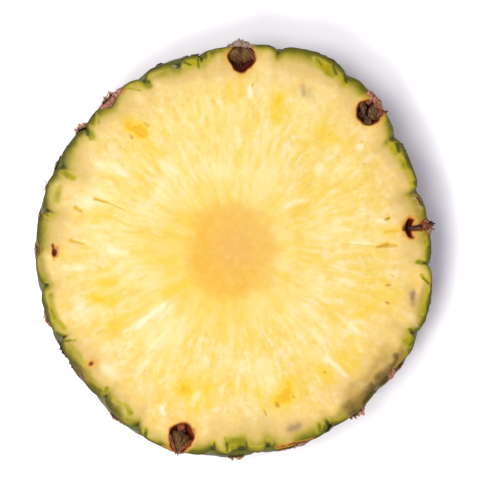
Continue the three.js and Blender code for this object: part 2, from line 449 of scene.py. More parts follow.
# Green folds of the rind in the cut face, as above
GREEN_FOLDS = (
    ((87.5, 128.0), (92.0, 136.0), 1.25, 1.0),
    ((97.0, 113.0), (98.5, 124.0), 0.55, 0.8, 0.3),
    ((118.0, 88.0), (136.0, 82.5), 1.0, 0.55),
    ((128.0, 88.0), (141.0, 89.5), 0.55, 0.75, 0.3),
    ((143.0, 82.5), (149.0, 84.5), 1.15, 1.0),
    ((150.0, 76.0), (168.0, 66.0), 1.3, 0.5),
    ((62.0, 172.0), (73.5, 177.5), 1.0, 1.0),
    ((59.5, 187.0), (55.5, 199.0), 1.5, 0.55),
    ((43.5, 213.0), (50.0, 216.5), 0.8, 1.0),
    ((187.0, 64.0), (200.0, 61.0), 1.45, 1.0),
    ((198.0, 58.0), (198.5, 66.5), 0.9, 1.0),
    ((208.5, 50.0), (209.0, 61.0), 0.55, 0.9, 0.2),
    ((210.0, 50.5), (226.0, 48.0), 0.5, 0.85),
    ((279.5, 48.0), (278.5, 54.5), 0.7, 1.0, 0.4),
    ((318.0, 62.0), (333.0, 73.0), 1.6, 1.0),
    ((314.0, 57.0), (322.0, 64.0), 0.9, 0.75),
    ((340.5, 76.0), (344.0, 83.0), 1.2, 0.95),
    ((389.0, 140.5), (398.0, 140.5), 0.6, 0.95),
    ((393.5, 147.0), (396.0, 152.0), 1.4, 1.0),
    ((402.0, 160.0), (406.0, 167.0), 1.3, 0.9),
    ((408.5, 171.0), (413.0, 179.0), 0.9, 0.7),
    ((411.0, 183.0), (417.5, 187.0), 0.9, 0.9),
    ((426.0, 241.0), (428.0, 260.0), 0.9, 0.9),
    ((417.5, 262.0), (428.0, 263.5), 0.75, 1.0),
    ((429.0, 266.0), (430.5, 282.0), 0.8, 0.8),
    ((421.5, 275.0), (429.0, 283.0), 0.6, 0.9),
    ((427.5, 288.0), (423.0, 312.0), 0.9, 0.75),
    ((409.0, 331.0), (415.5, 334.5), 0.7, 0.95),
    ((407.0, 341.0), (414.0, 341.0), 1.7, 0.95),
    ((405.5, 353.0), (402.0, 361.0), 0.8, 0.85),
    ((230.0, 444.5), (241.0, 443.5), 2.3, 1.0),
    ((225.5, 439.0), (226.0, 451.0), 0.7, 0.8),
    ((246.0, 441.0), (247.5, 450.0), 0.7, 0.8),
    ((252.0, 448.0), (268.0, 448.5), 0.9, 0.8),
    ((269.0, 440.0), (270.5, 445.0), 0.8, 0.8),
    ((318.5, 424.0), (319.5, 431.0), 0.8, 0.95),
    ((325.5, 420.0), (328.5, 427.0), 0.8, 0.95),
    ((114.0, 400.0), (125.0, 406.0), 0.8, 0.6),
    ((125.0, 406.0), (130.0, 414.0), 1.1, 0.85),
    ((214.0, 442.0), (214.5, 451.0), 0.8, 0.9),
    ((145.5, 430.0), (145.0, 437.0), 0.9, 0.9),
    ((112.0, 414.0), (138.0, 434.0), 1.1, 0.75),
    ((50.0, 296.0), (51.0, 309.0), 1.1, 0.75),
    ((51.5, 309.0), (55.0, 318.0), 1.1, 0.85),
    ((55.5, 318.0), (63.5, 327.5), 1.0, 0.85),
    ((64.0, 340.0), (75.5, 340.5), 0.7, 0.95, 0.3),
    ((44.0, 285.0), (49.0, 283.0), 0.6, 0.7),
    ((107.0, 388.0), (103.5, 396.0), 0.9, 0.9),
    ((78.0, 352.0), (84.0, 364.0), 0.9, 0.5),
)

# Dark green edges and creases of those folds, as above
GREEN_CREASES = (
    ((85.5, 125.0), (88.0, 134.0), 0.7, 1.0),
    ((89.0, 134.0), (90.5, 139.0), 0.4, 0.6),
    ((143.0, 79.5), (149.0, 81.5), 0.6, 0.9),
    ((60.5, 165.0), (65.5, 171.0), 0.5, 0.6),
    ((44.0, 211.0), (48.0, 215.0), 0.6, 0.7),
    ((197.5, 57.0), (198.0, 67.0), 0.35, 0.9),
    ((184.0, 62.5), (190.0, 65.0), 0.5, 0.8),
    ((279.3, 48.0), (279.0, 54.0), 0.45, 0.9),
    ((316.0, 58.0), (322.0, 65.0), 0.6, 0.6),
    ((333.0, 66.0), (336.5, 74.0), 0.7, 0.8),
    ((344.5, 75.0), (347.0, 82.0), 0.6, 0.9),
    ((392.0, 140.0), (398.0, 139.5), 0.5, 0.9),
    ((397.5, 144.0), (399.5, 151.0), 0.7, 0.95),
    ((406.0, 157.0), (410.0, 168.0), 0.7, 0.8),
    ((414.0, 182.5), (418.0, 187.0), 0.6, 0.8),
    ((428.5, 246.0), (429.5, 262.0), 0.7, 0.8),
    ((423.0, 277.5), (429.0, 284.0), 0.4, 0.8),
    ((410.0, 329.0), (416.5, 335.0), 0.45, 1.0),
    ((410.0, 345.0), (416.0, 341.0), 0.8, 0.7),
    ((408.0, 349.0), (407.5, 352.0), 0.7, 0.7),
    ((226.5, 443.0), (227.0, 451.0), 0.5, 0.8),
    ((232.0, 451.0), (244.0, 450.0), 0.6, 0.8),
    ((246.0, 443.0), (247.0, 450.0), 0.6, 0.8),
    ((319.0, 425.0), (320.0, 431.0), 0.45, 0.6),
    ((327.0, 421.0), (330.0, 427.0), 0.5, 0.9),
    ((214.3, 444.0), (214.5, 451.0), 0.6, 0.9),
    ((145.0, 433.0), (146.0, 438.0), 0.6, 0.8),
    ((51.0, 309.0), (55.0, 318.0), 0.35, 0.6),
    ((62.0, 341.0), (70.0, 340.5), 0.6, 0.8),
    ((86.5, 382.0), (102.0, 392.0), 0.7, 0.6),
    ((388.0, 381.0), (376.0, 392.0), 0.5, 0.8),
)

# Rim where green shades off far into the flesh, as above
GREEN_SHADES = (
    ((148.0, 80.0), (172.0, 66.0), 3.0, 0.9),
    ((66.0, 148.0), (64.0, 166.0), 2.6, 0.9),
    ((72.0, 136.0), (86.0, 140.0), 1.8, 0.5),
    ((48.0, 192.0), (44.0, 206.0), 2.2, 0.7),
    ((40.0, 222.0), (42.0, 240.0), 2.0, 0.7),
    ((42.0, 262.0), (46.0, 280.0), 2.2, 0.8),
    ((46.0, 300.0), (56.0, 326.0), 2.2, 0.5),
    ((72.0, 346.0), (84.0, 374.0), 2.6, 0.9),
    ((84.0, 376.0), (104.0, 394.0), 2.4, 0.85),
    ((110.0, 400.0), (140.0, 432.0), 2.6, 0.8),
    ((296.0, 58.0), (308.0, 63.0), 1.9, 0.55),
    ((350.0, 86.0), (368.0, 98.0), 2.0, 0.5),
    ((384.0, 118.0), (392.0, 132.0), 2.0, 0.8),
    ((384.0, 124.0), (392.0, 136.0), 2.6, 0.5),
    ((398.0, 158.0), (408.0, 178.0), 2.4, 0.5),
    ((414.0, 200.0), (426.0, 222.0), 2.4, 0.7),
    ((421.0, 244.0), (421.0, 254.0), 1.6, 0.6),
    ((424.0, 290.0), (420.0, 318.0), 2.0, 0.7),
    ((405.0, 336.0), (398.0, 360.0), 2.4, 0.7),
    ((196.0, 448.0), (212.0, 450.0), 1.8, 0.8),
    ((252.0, 446.0), (280.0, 446.0), 1.8, 0.6),
    ((300.0, 438.0), (340.0, 416.0), 2.0, 0.8),
    ((340.0, 412.0), (352.0, 402.0), 2.4, 0.9),
    ((102.0, 117.0), (164.0, 76.0), 2.8, 0.42),
    ((45.0, 233.0), (47.0, 282.0), 2.6, 0.36),
    ((120.0, 411.0), (166.0, 436.0), 2.6, 0.36),
    ((268.0, 444.0), (332.0, 419.0), 2.6, 0.46),
    ((402.0, 352.0), (420.0, 299.0), 2.8, 0.42),
    ((412.0, 204.0), (423.0, 217.0), 2.0, 0.45),
    ((418.0, 240.0), (424.0, 262.0), 2.2, 0.35),
)

# Dull, see-through olive zones, as above
OLIVE_ZONES = (
    ((401.0, 354.0), (391.0, 371.0), 2.4, 0.66),
    ((390.0, 371.0), (374.0, 389.0), 3.2, 0.94),
    ((374.0, 388.0), (352.0, 408.0), 3.3, 0.98),
    ((390.0, 352.0), (352.0, 396.0), 3.6, 0.52),
    ((386.0, 348.0), (346.0, 391.0), 6.0, 0.22),
    ((396.0, 357.0), (390.0, 370.0), 1.5, 0.95),
    ((390.0, 379.0), (376.0, 392.0), 1.9, 1.40),
    ((376.0, 391.0), (364.0, 403.0), 1.7, 1.30),
    ((364.0, 403.0), (350.0, 415.0), 1.4, 1.10),
    ((78.0, 370.0), (86.0, 378.0), 1.6, 0.6),
    ((410.0, 288.0), (412.0, 308.0), 2.4, 0.30),
    ((404.0, 202.0), (420.0, 218.0), 2.4, 0.30),
    ((414.0, 196.0), (418.0, 210.0), 1.4, 0.55),
    ((416.0, 236.0), (424.0, 240.0), 1.6, 0.40),
    ((411.0, 221.0), (425.0, 221.0), 1.5, 0.60),
)

# Rust-brown stains and lines, as above; the first runs along a torn groove
TORN_STAIN = ((407.0, 228.6), (433.0, 227.6), 0.75, 1.15)
RUST_STAINS = (
    TORN_STAIN,
    ((378.0, 99.0), (386.5, 112.0), 0.8, 0.9),
    ((413.0, 219.0), (420.0, 217.0), 0.5, 0.35),
    ((415.0, 226.5), (431.0, 226.8), 0.9, 0.8),
    ((404.0, 223.0), (404.5, 235.0), 1.7, 0.30),
    ((410.5, 219.0), (405.8, 226.5), 1.1, 0.80),
    ((405.8, 226.5), (411.0, 236.5), 1.1, 0.80),
    ((405.0, 229.0), (418.0, 228.0), 0.9, 1.2),
    ((411.0, 222.5), (428.0, 222.0), 1.1, 0.34),
    ((412.0, 233.5), (425.0, 232.0), 1.2, 0.22),
    ((414.0, 222.0), (416.5, 227.0), 0.8, 0.55),
    ((276.0, 447.5), (312.0, 439.5), 0.45, 0.9),
    ((99.0, 109.0), (127.0, 89.0), 0.4, 0.6),
    ((163.0, 446.5), (176.0, 453.0), 0.7, 0.5),
    ((183.0, 451.5), (190.0, 448.0), 0.8, 0.5),
    ((167.5, 434.0), (168.0, 442.0), 0.5, 0.25),
    ((40.5, 245.0), (41.0, 253.0), 0.6, 0.3),
    ((53.8, 250.5), (52.6, 245.0), 0.48, 1.1),
    ((56.8, 248.5), (57.0, 255.5), 0.75, 0.62),
    ((58.0, 248.0), (61.0, 244.5), 0.35, 0.30),
    ((54.0, 256.0), (54.6, 260.0), 0.35, 0.45),
    ((55.0, 246.5), (58.5, 247.5), 0.40, 0.40),
    ((426.5, 233.0), (427.0, 238.0), 0.5, 0.3),
    ((387.0, 373.0), (393.0, 373.0), 0.9, 0.20),
    ((276.5, 404.5), (277.5, 405.5), 0.75, 0.8),
    ((293.0, 396.5), (294.0, 397.5), 0.5, 0.45),
    ((387.0, 285.0), (390.0, 285.5), 0.6, 0.55),
    ((386.5, 302.5), (388.5, 303.0), 0.6, 0.6),
    ((363.0, 164.0), (365.0, 164.5), 0.5, 0.45),
    ((329.0, 134.5), (330.0, 134.5), 0.4, 0.5),
    ((324.0, 372.0), (325.0, 372.5), 0.4, 0.5),
    ((145.0, 123.0), (148.0, 125.5), 0.6, 0.5),
    ((130.5, 135.5), (132.0, 137.5), 0.7, 0.5),
    ((134.5, 127.0), (135.5, 127.5), 0.35, 0.5),
)

# Dull mauve marks under the surface, as above
BRUISES = (
    ((413.5, 293.0), (412.5, 304.0), 0.9, 0.9),
    ((289.0, 430.0), (299.0, 425.0), 1.0, 0.7),
    ((302.5, 87.0), (304.0, 94.0), 0.8, 0.55),
    ((307.0, 90.0), (310.0, 95.0), 1.3, 0.28),
    ((394.0, 132.0), (396.0, 136.0), 1.2, 0.25),
)

# Wrinkled places by the rim, crumpled and given painted glints, as above
WRINKLES = (
    ((170.0, 68.0), (178.0, 66.0), 1.3, 1.0),
    ((121.0, 405.0), (127.0, 413.0), 1.1, 0.6),
    ((368.0, 386.0), (372.0, 383.0), 0.9, 0.9),
    ((415.0, 199.0), (420.0, 207.0), 0.8, 1.0),
    ((416.5, 324.0), (417.5, 331.0), 0.8, 0.9),
    ((388.0, 126.0), (393.0, 132.0), 0.8, 0.5),
    ((53.0, 186.0), (60.0, 184.0), 0.8, 0.6),
)

# The point attribute that carries each kind of mark: its strips, how far their edges wobble and
# the seed of the wobble
STRIP_MARKS = {
    "green": (GREEN_FOLDS, 0.35, 63),
    "crease": (GREEN_CREASES, 0.3, 63),
    "shade": (GREEN_SHADES, 0.8, 65),
    "ripe": (RIPE_PATCHES, 0.7, 67),
    "pale": (PALE_STREAKS_AND_HIGHLIGHT, 0.5, 69),
    "olive": (OLIVE_ZONES, 0.8, 71),
    "rust": (RUST_STAINS, 0.2, 85),
    "bruise": (BRUISES, 0.4, 73),
    "wrinkle": (WRINKLES, 0.3, 75),
    "slit": (SLITS, 0.12, 41),
}


def strip_share(x, y, start, end, half_width, strength, narrowing=0.0):
    """Bell curve of the distance to a straight line between two places of the frame. The strip
    can grow narrower towards its end."""
    start_x, start_y = from_steps(*start)
    end_x, end_y = from_steps(*end)
    length = math.hypot(end_x - start_x, end_y - start_y)
    step_x = (end_x - start_x) / length
    step_y = (end_y - start_y) / length
    along = (x - start_x) * step_x + (y - start_y) * step_y
    inside = np.clip(along, 0.0, length)
    aside = (y - start_y) * step_x - (x - start_x) * step_y
    width = half_width * (1.0 - narrowing * inside / length)
    return strength * bell(np.hypot(along - inside, aside), width)


def strips_share(x, y, strips, wobble, seed):
    """The strongest of a set of soft strips at each place; the wobble bends their edges."""
    place = place_of(x, y, 0.0)
    x = x + wobble * layered_noise(place, 2.2, seed, layers=2)
    y = y + wobble * layered_noise(place, 2.2, seed + 7, layers=2)
    share = np.zeros_like(x)
    for strip in strips:
        share = np.maximum(share, strip_share(x, y, *strip))
    return share


def oval_share(x, y, middle, half_length, half_width, seed, pointed=0.0):
    """1 in the middle of an oval that points away from the slice's centre, 0 on its edge and
    negative outside it; its outer or its inner end can be drawn to a point."""
    middle_x, middle_y = from_steps(*middle)
    radius = math.hypot(middle_x, middle_y)
    out_x = middle_x / radius
    out_y = middle_y / radius
    outward = ((x - middle_x) * out_x + (y - middle_y) * out_y) / half_length
    across = ((y - middle_y) * out_x - (x - middle_x) * out_y) / half_width
    narrowing = 1.0 - abs(pointed) * smooth_step(math.copysign(1.0, pointed) * outward, -0.3, 1.2)
    edge = 1.0 + 0.09 * noise(place_of(x, y, 0.0), 1.3, seed)
    return 1.0 - np.hypot(outward, across / np.maximum(narrowing, 0.1)) / edge


def cup_shares(x, y):
    """How far inside an opened cup a place is, from 1 in its middle to 0 at its edge, and how
    deep the hollow is there."""
    share = np.full_like(x, -1.0)
    depth = np.zeros_like(x)
    for middle, half_width, half_length, cup_depth, pointed in UPPER_CUPS:
        own = oval_share(x, y, middle, half_length, half_width, 31, pointed)
        wall = smooth_step(own, 0.0, CUP_WALL / min(half_width, half_length))
        depth = np.maximum(depth, cup_depth * wall * (0.6 + 0.4 * np.clip(own, 0.0, 1.0)))
        share = np.maximum(share, own * min(1.0, half_width / FULL_CUP_WIDTH))
    middle, half_length, half_width, cup_depth = CRESCENT
    hollow = oval_share(x, y, middle, half_length, half_width, 33)
    standing = oval_share(x, y, *CRESCENT_FLESH, 35)
    own = np.minimum(hollow, -standing)
    depth = np.maximum(depth, cup_depth * smooth_step(own, 0.0, 0.28))
    return np.maximum(share, own), depth


def fibre_ridges(x, y, seed):
    """Low ridges that run outwards from the core: noise of the direction and, more slowly, of
    the radius."""
    radius = np.maximum(np.hypot(x, y), 1e-6)
    broad = noise(place_of(12.0 * x / radius, 12.0 * y / radius, 0.12 * radius), 1.0, seed)
    fine = noise(place_of(27.0 * x / radius, 27.0 * y / radius, 0.22 * radius), 1.0, seed + 1)
    return (0.55 * broad + 0.45 * fine) * smooth_step(radius, 14.0, 30.0)


def core_share(x, y):
    """1 inside the core and 0 outside, with a soft and lobed edge."""
    place = place_of(x, y, 0.0)
    from_middle = np.hypot(x - CORE_CENTRE[0], 0.95 * (y - CORE_CENTRE[1]))
    edge = CORE_RADIUS + 1.1 * noise(place, 6.0, seed=51) + noise(place, 2.5, seed=53)
    return 1.0 - smooth_step(from_middle, edge - 3.2, edge + 2.6)


def face_relief(x, y, inset, seed):
    """Height of a cut face over its plane: fibres, shallow dents and fine grain, all of which
    die away at the rim."""
    place = place_of(x, y, 0.0)
    from_rim = smooth_step(inset, 0.0, 4.0)
    fibres = 0.06 * fibre_ridges(x, y, seed)
    dents = 0.12 * layered_noise(place, 7.0, seed + 5)
    grain = 0.035 * noise(place, 1.2, seed + 9)
    return from_rim * (fibres + dents) + grain * smooth_step(inset, 0.2, 1.0) - 0.05


# ---------------------------------------------------------------- the body

# How far in from the rind each ring of points lies
UPPER_INSETS = np.concatenate([
    [MEAN_RADIUS],
    np.arange(MEAN_RADIUS - 0.7, 17.6, -0.62),
    np.arange(17.6, 9.0, -0.48),
    np.arange(9.0, 1.2, -0.37),
    [1.10, 0.78, 0.48, 0.22],
])
LOWER_INSETS = np.concatenate([
    [0.25, 0.6, 1.1, 1.7, 2.4, 3.2, 4.1, 5.1, 6.3, 7.6, 9.2, 11.2],
    np.arange(13.5, MEAN_RADIUS - 2.0, 2.4),
    [MEAN_RADIUS],
])
# Share of the segments that a ring of the upper face keeps once its radius is below a limit
RING_SHARES = ((38.5, 0.8), (30.0, 0.6), (18.0, 0.3), (8.0, 0.15), (3.0, 0.05))
FINE_LOWER_INSET = 12.0  # rings of the underside are finer as far in as this

# Cups of the underside, behind the eyes that the lower cut passes near
LOWER_CUP_REACH = 3.2  # farthest that such an eye's middle is from the cut
CUP_HALF_HEIGHT = 3.6
CUP_HALF_WIDTH = 3.7
CUP_HALF_LENGTH = 3.5
CUP_INSET = 4.4
LOWER_CUP_DEPTH = 3.2


def upper_ring_counts():
    """Number of points on each ring of the upper face: fewer towards the middle, one there."""
    counts = []
    for inset in UPPER_INSETS:
        share = 1.0
        for limit, part in RING_SHARES:
            if MEAN_RADIUS - inset < limit:
                share = part
        counts.append(int(SEGMENTS * share))
    counts[0] = 1
    return counts


def lower_ring_counts():
    """Number of points on each ring of the underside: one in the middle."""
    counts = [SEGMENTS // (2 if inset < FINE_LOWER_INSET else 5) for inset in LOWER_INSETS]
    counts[-1] = 1
    return counts


def spread_rings(values, counts):
    """Angle of every point of a set of rings and its ring's own value, ring after ring."""
    angle = np.concatenate([2.0 * math.pi * np.arange(count) / count for count in counts])
    return angle, np.repeat(values, counts)


def face_place(angle, inset, rim):
    """Sideways place of a point of a cut face: at the rim it follows the rind's relief, and
    further in the smooth outline, drawn together evenly towards the middle."""
    radius = outline_radius(angle) * (1.0 - inset / MEAN_RADIUS)
    radius = radius + rim * np.maximum(0.0, 1.0 - inset / RIM_BLEND)
    return radius * np.cos(angle), radius * np.sin(angle)


def level_seam(angle, height):
    """Distance to the nearest seam at one level of the rind."""
    return find_eye(*wander(angle, np.full_like(angle, height)))[2]


def lower_cup_shares(x, y):
    """The same as cup_shares for the underside: oval hollows that are smaller the farther their
    eye is from the cut."""
    share = np.full_like(x, -1.0)
    depth = np.zeros_like(x)
    for eye_angle, eye_height in zip(EYE_ANGLES, EYE_HEIGHTS):
        if abs(eye_height) > LOWER_CUP_REACH:
            continue
        size = math.sqrt(1.0 - (eye_height / CUP_HALF_HEIGHT) ** 2)
        middle = outline_radius(eye_angle) - CUP_INSET
        outward = x * math.cos(eye_angle) + y * math.sin(eye_angle) - middle
        across = y * math.cos(eye_angle) - x * math.sin(eye_angle)
        own = 1.0 - np.hypot(outward / (CUP_HALF_LENGTH * size), across / (CUP_HALF_WIDTH * size))
        share = np.maximum(share, own)
        depth = np.maximum(depth, LOWER_CUP_DEPTH * size * smooth_step(own, 0.0, 0.35))
    return share, depth


def upper_face():
    """Rings of the upper cut face from its middle to its rim: how many points each has, where
    all the points are, and the marks on them."""
    counts = upper_ring_counts()
    angle, inset = spread_rings(UPPER_INSETS, counts)
    x, y = face_place(angle, inset, rim_relief(angle, THICKNESS))
    marks = {label: strips_share(x, y, *strips) for label, strips in STRIP_MARKS.items()}
    marks["cup"], cup_depth = cup_shares(x, y)
    marks["core"] = core_share(x, y)
    marks["inset"] = inset
    marks["seam"] = level_seam(angle, THICKNESS)
    slit_depth = 0.35 * smooth_step(marks["slit"], 0.2, 0.9)
    torn_depth = 0.7 * smooth_step(strips_share(x, y, [TORN_STAIN], 0.2, 85), 0.3, 0.9)
    crumple = 0.14 * marks["wrinkle"] * noise(place_of(x, y, 0.0), 0.8, seed=81)
    height = THICKNESS + face_relief(x, y, inset, 71) + crumple
    height = height - np.maximum(np.maximum(cup_depth, slit_depth), torn_depth)
    return counts, place_of(x, y, height), marks


def rind_side():
    """Rows of the rind from its upper edge downwards, as above."""
    heights = THICKNESS * (1.0 - np.arange(SIDE_ROWS + 1) / SIDE_ROWS)
    counts = [SEGMENTS] * len(heights)
    angle, height = spread_rings(heights, counts)
    eye_across, eye_up, seam = find_eye(*wander(angle, height))
    radius = outline_radius(angle) + rind_relief(angle, height)
    everywhere = np.ones_like(angle)
    marks = {
        "skin": everywhere,
        "seam": seam,
        "eye_up": eye_up,
        "eye_across": eye_across,
        "cup": -everywhere,
    }
    return counts, rind_place(angle, radius, height), marks


def underside():
    """Rings of the lower cut face from its rim to its middle, as above. Its ripe and green
    places come from noise."""
    counts = lower_ring_counts()
    angle, inset = spread_rings(LOWER_INSETS, counts)
    x, y = face_place(angle, inset, rim_relief(angle, 0.0))
    shift_x, shift_y = lean_shift(0.0)
    x = x + shift_x * (1.0 - inset / MEAN_RADIUS)
    y = y + shift_y * (1.0 - inset / MEAN_RADIUS)
    ripe = smooth_step(noise(place_of(x, y, 40.0), 9.0, seed=91), 0.3, 0.8)
    green = smooth_step(noise(place_of(x, y, 60.0), 6.0, seed=93), 0.1, 0.7)
    shade = smooth_step(noise(place_of(x, y, 80.0), 9.0, seed=95), -0.2, 0.5)
    cup, cup_depth = lower_cup_shares(x, y)
    marks = {
        "inset": inset,
        "seam": level_seam(angle, 0.0),
        "core": core_share(x, y),
        "ripe": 0.9 * ripe,
        "green": 0.9 * green * bell(inset, 1.6),
        "shade": 0.8 * shade * bell(inset, 3.0),
        "cup": cup,
    }
    height = np.maximum(0.0, 0.1 - 2.0 * face_relief(x, y, inset, 171)) + cup_depth
    return counts, place_of(x, y, height), marks


def make_body(material):
    """The whole slice as one closed surface: rings of the upper cut face outwards, rows of the
    rind downwards and rings of the underside inwards. A mark that one of them lacks is 0 there."""
    parts = (upper_face(), rind_side(), underside())
    faces = join_all_rings([count for counts, _, _ in parts for count in counts])
    points = np.concatenate([points for _, points, _ in parts])
    labels = dict.fromkeys(label for _, _, marks in parts for label in marks)
    attributes = {
        label: np.concatenate([
            marks.get(label, np.zeros(len(points))) for _, points, marks in parts])
        for label in labels
    }
    return make_object("fruit_slice", points, faces, material, attributes)


# ---------------------------------------------------------------- scales, buds and scraps

def scale_width(along, fullness):
    """Half width of a leaf as a share, from its base (0) to its pointed tip (1)."""
    return np.clip(1.0 - along, 0.0, 1.0) ** fullness * (0.86 + 0.14 * np.sin(math.pi * along))


def grid_relief(turn, height):
    """The rind's relief on a grid of places."""
    return rind_relief(turn.ravel(), height.ravel()).reshape(turn.shape)


def add_bract(leaves, angle, foot, tip, half_width, curl, tint, seed):
    """Pointed scale that lies against the rind: its foot and tip are heights above the
    underside, and its tip stands off by the curl. The cuts trim it."""
    low = max(0.0, (0.15 - foot) / (tip - foot))
    high = min(1.0, (THICKNESS - 0.12 - foot) / (tip - foot))
    if high - low < 0.12:
        return
    rows = max(5, int(16 * (high - low)))
    along = np.linspace(low, high, rows)[:, None]
    side = np.linspace(-1.0, 1.0, 13)[None, :]
    place = place_of(9.0 * side, 7.0 * along, 3.0 * seed)
    ragged = 1.0 + 0.16 * noise(place, 1.7, seed=101) * np.abs(side)
    width = half_width * scale_width(along, 0.62) * ragged + 0.12
    height = foot + (tip - foot) * along + 0.30 * noise(place, 2.6, seed=103) * along
    height = np.clip(height, 0.12, THICKNESS - 0.1)
    turn = angle + side * width / MEAN_RADIUS
    relief = grid_relief(turn, height)
    free = smooth_step(along, 0.15, 0.75)
    stand = relief * (1.0 - 0.6 * free) + 0.22 * free + 0.10
    stand = stand + curl * along**2.5 - 0.25 * side**2 * (1.0 - along)
    stand = stand + 0.10 * np.cos(9.0 * side) * (1.0 - np.abs(side))
    stand = stand + 0.10 * noise(place, 1.3, seed=107)
    leaves.add(rind_place(turn, outline_radius(turn) + stand, height), tint, 1.0)


def add_scrap(leaves, middle, half_width, reach, under, tint, seed):
    """Dry flake that curls out past the rim. It rises along the rind and turns outwards, by the
    reach times the square of the share of its length; its outer edge is round and ragged."""
    middle_x, middle_y = from_steps(*middle)
    along = np.linspace(0.0, 1.0, 13)[:, None]
    side = np.linspace(-1.0, 1.0, 25)[None, :]
    ragged = noise(place_of(6.0 * side, 2.0 * along, 9.0 * seed), 1.0, seed=141)
    rounding = np.sqrt(1.0 - 0.97 * side**2)
    turn = math.atan2(middle_y, middle_x) + side * half_width * (0.75 + 0.25 * along) / MEAN_RADIUS
    height = THICKNESS - under - 4.5 * rounding * (1.0 - along) ** 2 - 0.5 * side**2
    height = height + 0.26 * noise(place_of(7.0 * side, 3.0 * along, 7.0 * seed), 1.0, seed=143)
    height = np.clip(height, 0.2, THICKNESS - 0.1)
    relief = grid_relief(turn, height)
    stand = relief * (1.0 - 0.6 * along) + 0.1
    stand = stand + reach * rounding * (0.70 + 0.48 * ragged) * along**2
    leaves.add(rind_place(turn, outline_radius(turn) + stand, height), tint, 0.7)


def add_flap(leaves, middle, half_width, inward, outward, tint, seed):
    """Dry flake that lies over the rim, from some way in on the cut face to some way out past
    the rind. Both edges are bows whose ends meet; the outer one is drawn to a point."""
    middle_x, middle_y = from_steps(*middle)
    along = np.linspace(0.0, 1.0, 15)[:, None]
    side = np.linspace(-1.0, 1.0, 27)[None, :]
    turn = math.atan2(middle_y, middle_x) + side * half_width / MEAN_RADIUS
    torn = noise(place_of(7.0 * side, 0.0 * along, 5.0 * seed), 1.0, seed=149)
    ragged = noise(place_of(8.0 * side, 0.0 * along, 9.0 * seed), 1.0, seed=145)
    start = -inward * (1.0 + 0.4 * torn) * np.sqrt(1.0 - 0.98 * side**2)
    end = outward * (1.0 - np.abs(side)) ** 0.8 * (1.0 + 0.32 * ragged)
    reach = start + (end - start) * along
    lift = 0.30 - 0.35 * smooth_step(reach, 0.0, outward) - 0.25 * side**2
    lift = lift + 0.24 * noise(place_of(7.0 * side, 2.0 * along, 7.0 * seed), 1.0, seed=147)
    radius = outline_radius(turn) + rim_relief(turn, THICKNESS) + reach
    grid = place_of(radius * np.cos(turn), radius * np.sin(turn), THICKNESS + lift)
    leaves.add(grid, tint)


# Dry flakes over the rim: middle, half width, reach inwards and outwards, tint
FLAPS = (
    ((239.0, 46.0), 3.5, 0.6, 1.5, 0.20),
    ((247.0, 47.0), 2.0, 0.9, 0.15, 0.26),
    ((374.0, 97.0), 2.6, 1.3, 0.6, 1.0),
    ((379.5, 103.0), 1.9, 1.6, 0.8, 0.95),
    ((109.0, 98.0), 4.2, 1.1, 0.7, 0.86),
    ((116.0, 92.0), 2.2, 0.9, 0.7, 0.70),
    ((428.0, 222.0), 0.9, 1.0, 0.3, 0.90),
    ((430.5, 230.5), 0.9, 1.2, 0.3, 0.75),
    ((392.0, 374.0), 1.9, 1.0, 0.4, 0.86),
)

# Scraps of dry scale that stick out past the rim: middle, half width, reach, depth under the cut
# face, tint (0 grey, 0.5 pink, 1 brown)
SCRAPS = (
    ((109.0, 99.0), 3.9, 1.7, 0.7, 0.85),
    ((82.0, 129.0), 2.4, 1.7, 1.8, 0.55),
    ((60.0, 164.0), 2.4, 0.7, 1.6, 0.12),
    ((47.0, 186.0), 1.5, 0.9, 1.6, 0.60),
    ((42.0, 251.0), 1.2, 0.5, 1.4, 0.75),
    ((46.5, 318.0), 3.0, 1.5, 1.4, 0.50),
    ((62.0, 350.0), 2.6, 1.0, 1.8, 0.15),
    ((72.5, 365.0), 1.5, 0.9, 1.8, 0.35),
    ((116.0, 416.0), 2.5, 1.1, 1.8, 0.50),
    ((177.0, 455.0), 1.5, 1.0, 0.9, 0.80),
    ((236.0, 453.5), 2.5, 1.5, 1.9, 0.55),
    ((299.0, 446.0), 3.4, 0.9, 1.2, 0.70),
    ((332.0, 428.0), 2.4, 0.6, 1.2, 0.15),
    ((358.0, 411.0), 2.9, 2.6, 2.2, 0.62),
    ((392.0, 374.0), 1.4, 0.8, 1.0, 0.70),
    ((418.0, 318.0), 1.2, 0.5, 1.0, 0.60),
    ((430.0, 301.0), 1.6, 0.4, 0.8, 0.90),
    ((401.0, 151.0), 2.4, 0.7, 1.2, 0.18),
    ((376.0, 99.0), 3.4, 1.2, 0.7, 0.80),
    ((328.0, 63.0), 4.6, 0.7, 1.5, 0.06),
    ((241.0, 46.0), 3.3, 1.2, 0.7, 0.30),
    ((190.0, 57.5), 2.8, 0.7, 1.3, 0.12),
)


def make_bracts(material):
    """The scales of all eyes of the side, and the scraps and flaps that show at the rim."""
    leaves = Leaves()
    for number, (angle, height) in enumerate(zip(EYE_ANGLES, EYE_HEIGHTS)):
        if not -4.0 < height < THICKNESS + 7.0:
            continue
        vary = noise(np.array([[number * 1.7, 0.0, 0.0]]), 1.0, seed=111)[0]
        foot = height + BRACT_TIP - BRACT_FOOT
        tip = height + BRACT_TIP + 0.8
        half_width = 4.3 + 0.5 * vary
        curl = 0.18 + 0.12 * vary
        add_bract(leaves, angle, foot, tip, half_width, curl, 0.22 + 0.2 * vary, number)
    for number, scrap in enumerate(SCRAPS):
        add_scrap(leaves, *scrap, 100 + number)
    for number, flap in enumerate(FLAPS):
        add_flap(leaves, *flap, 200 + number)
    return leaves.build("dry_scales", material, thickness=0.22)


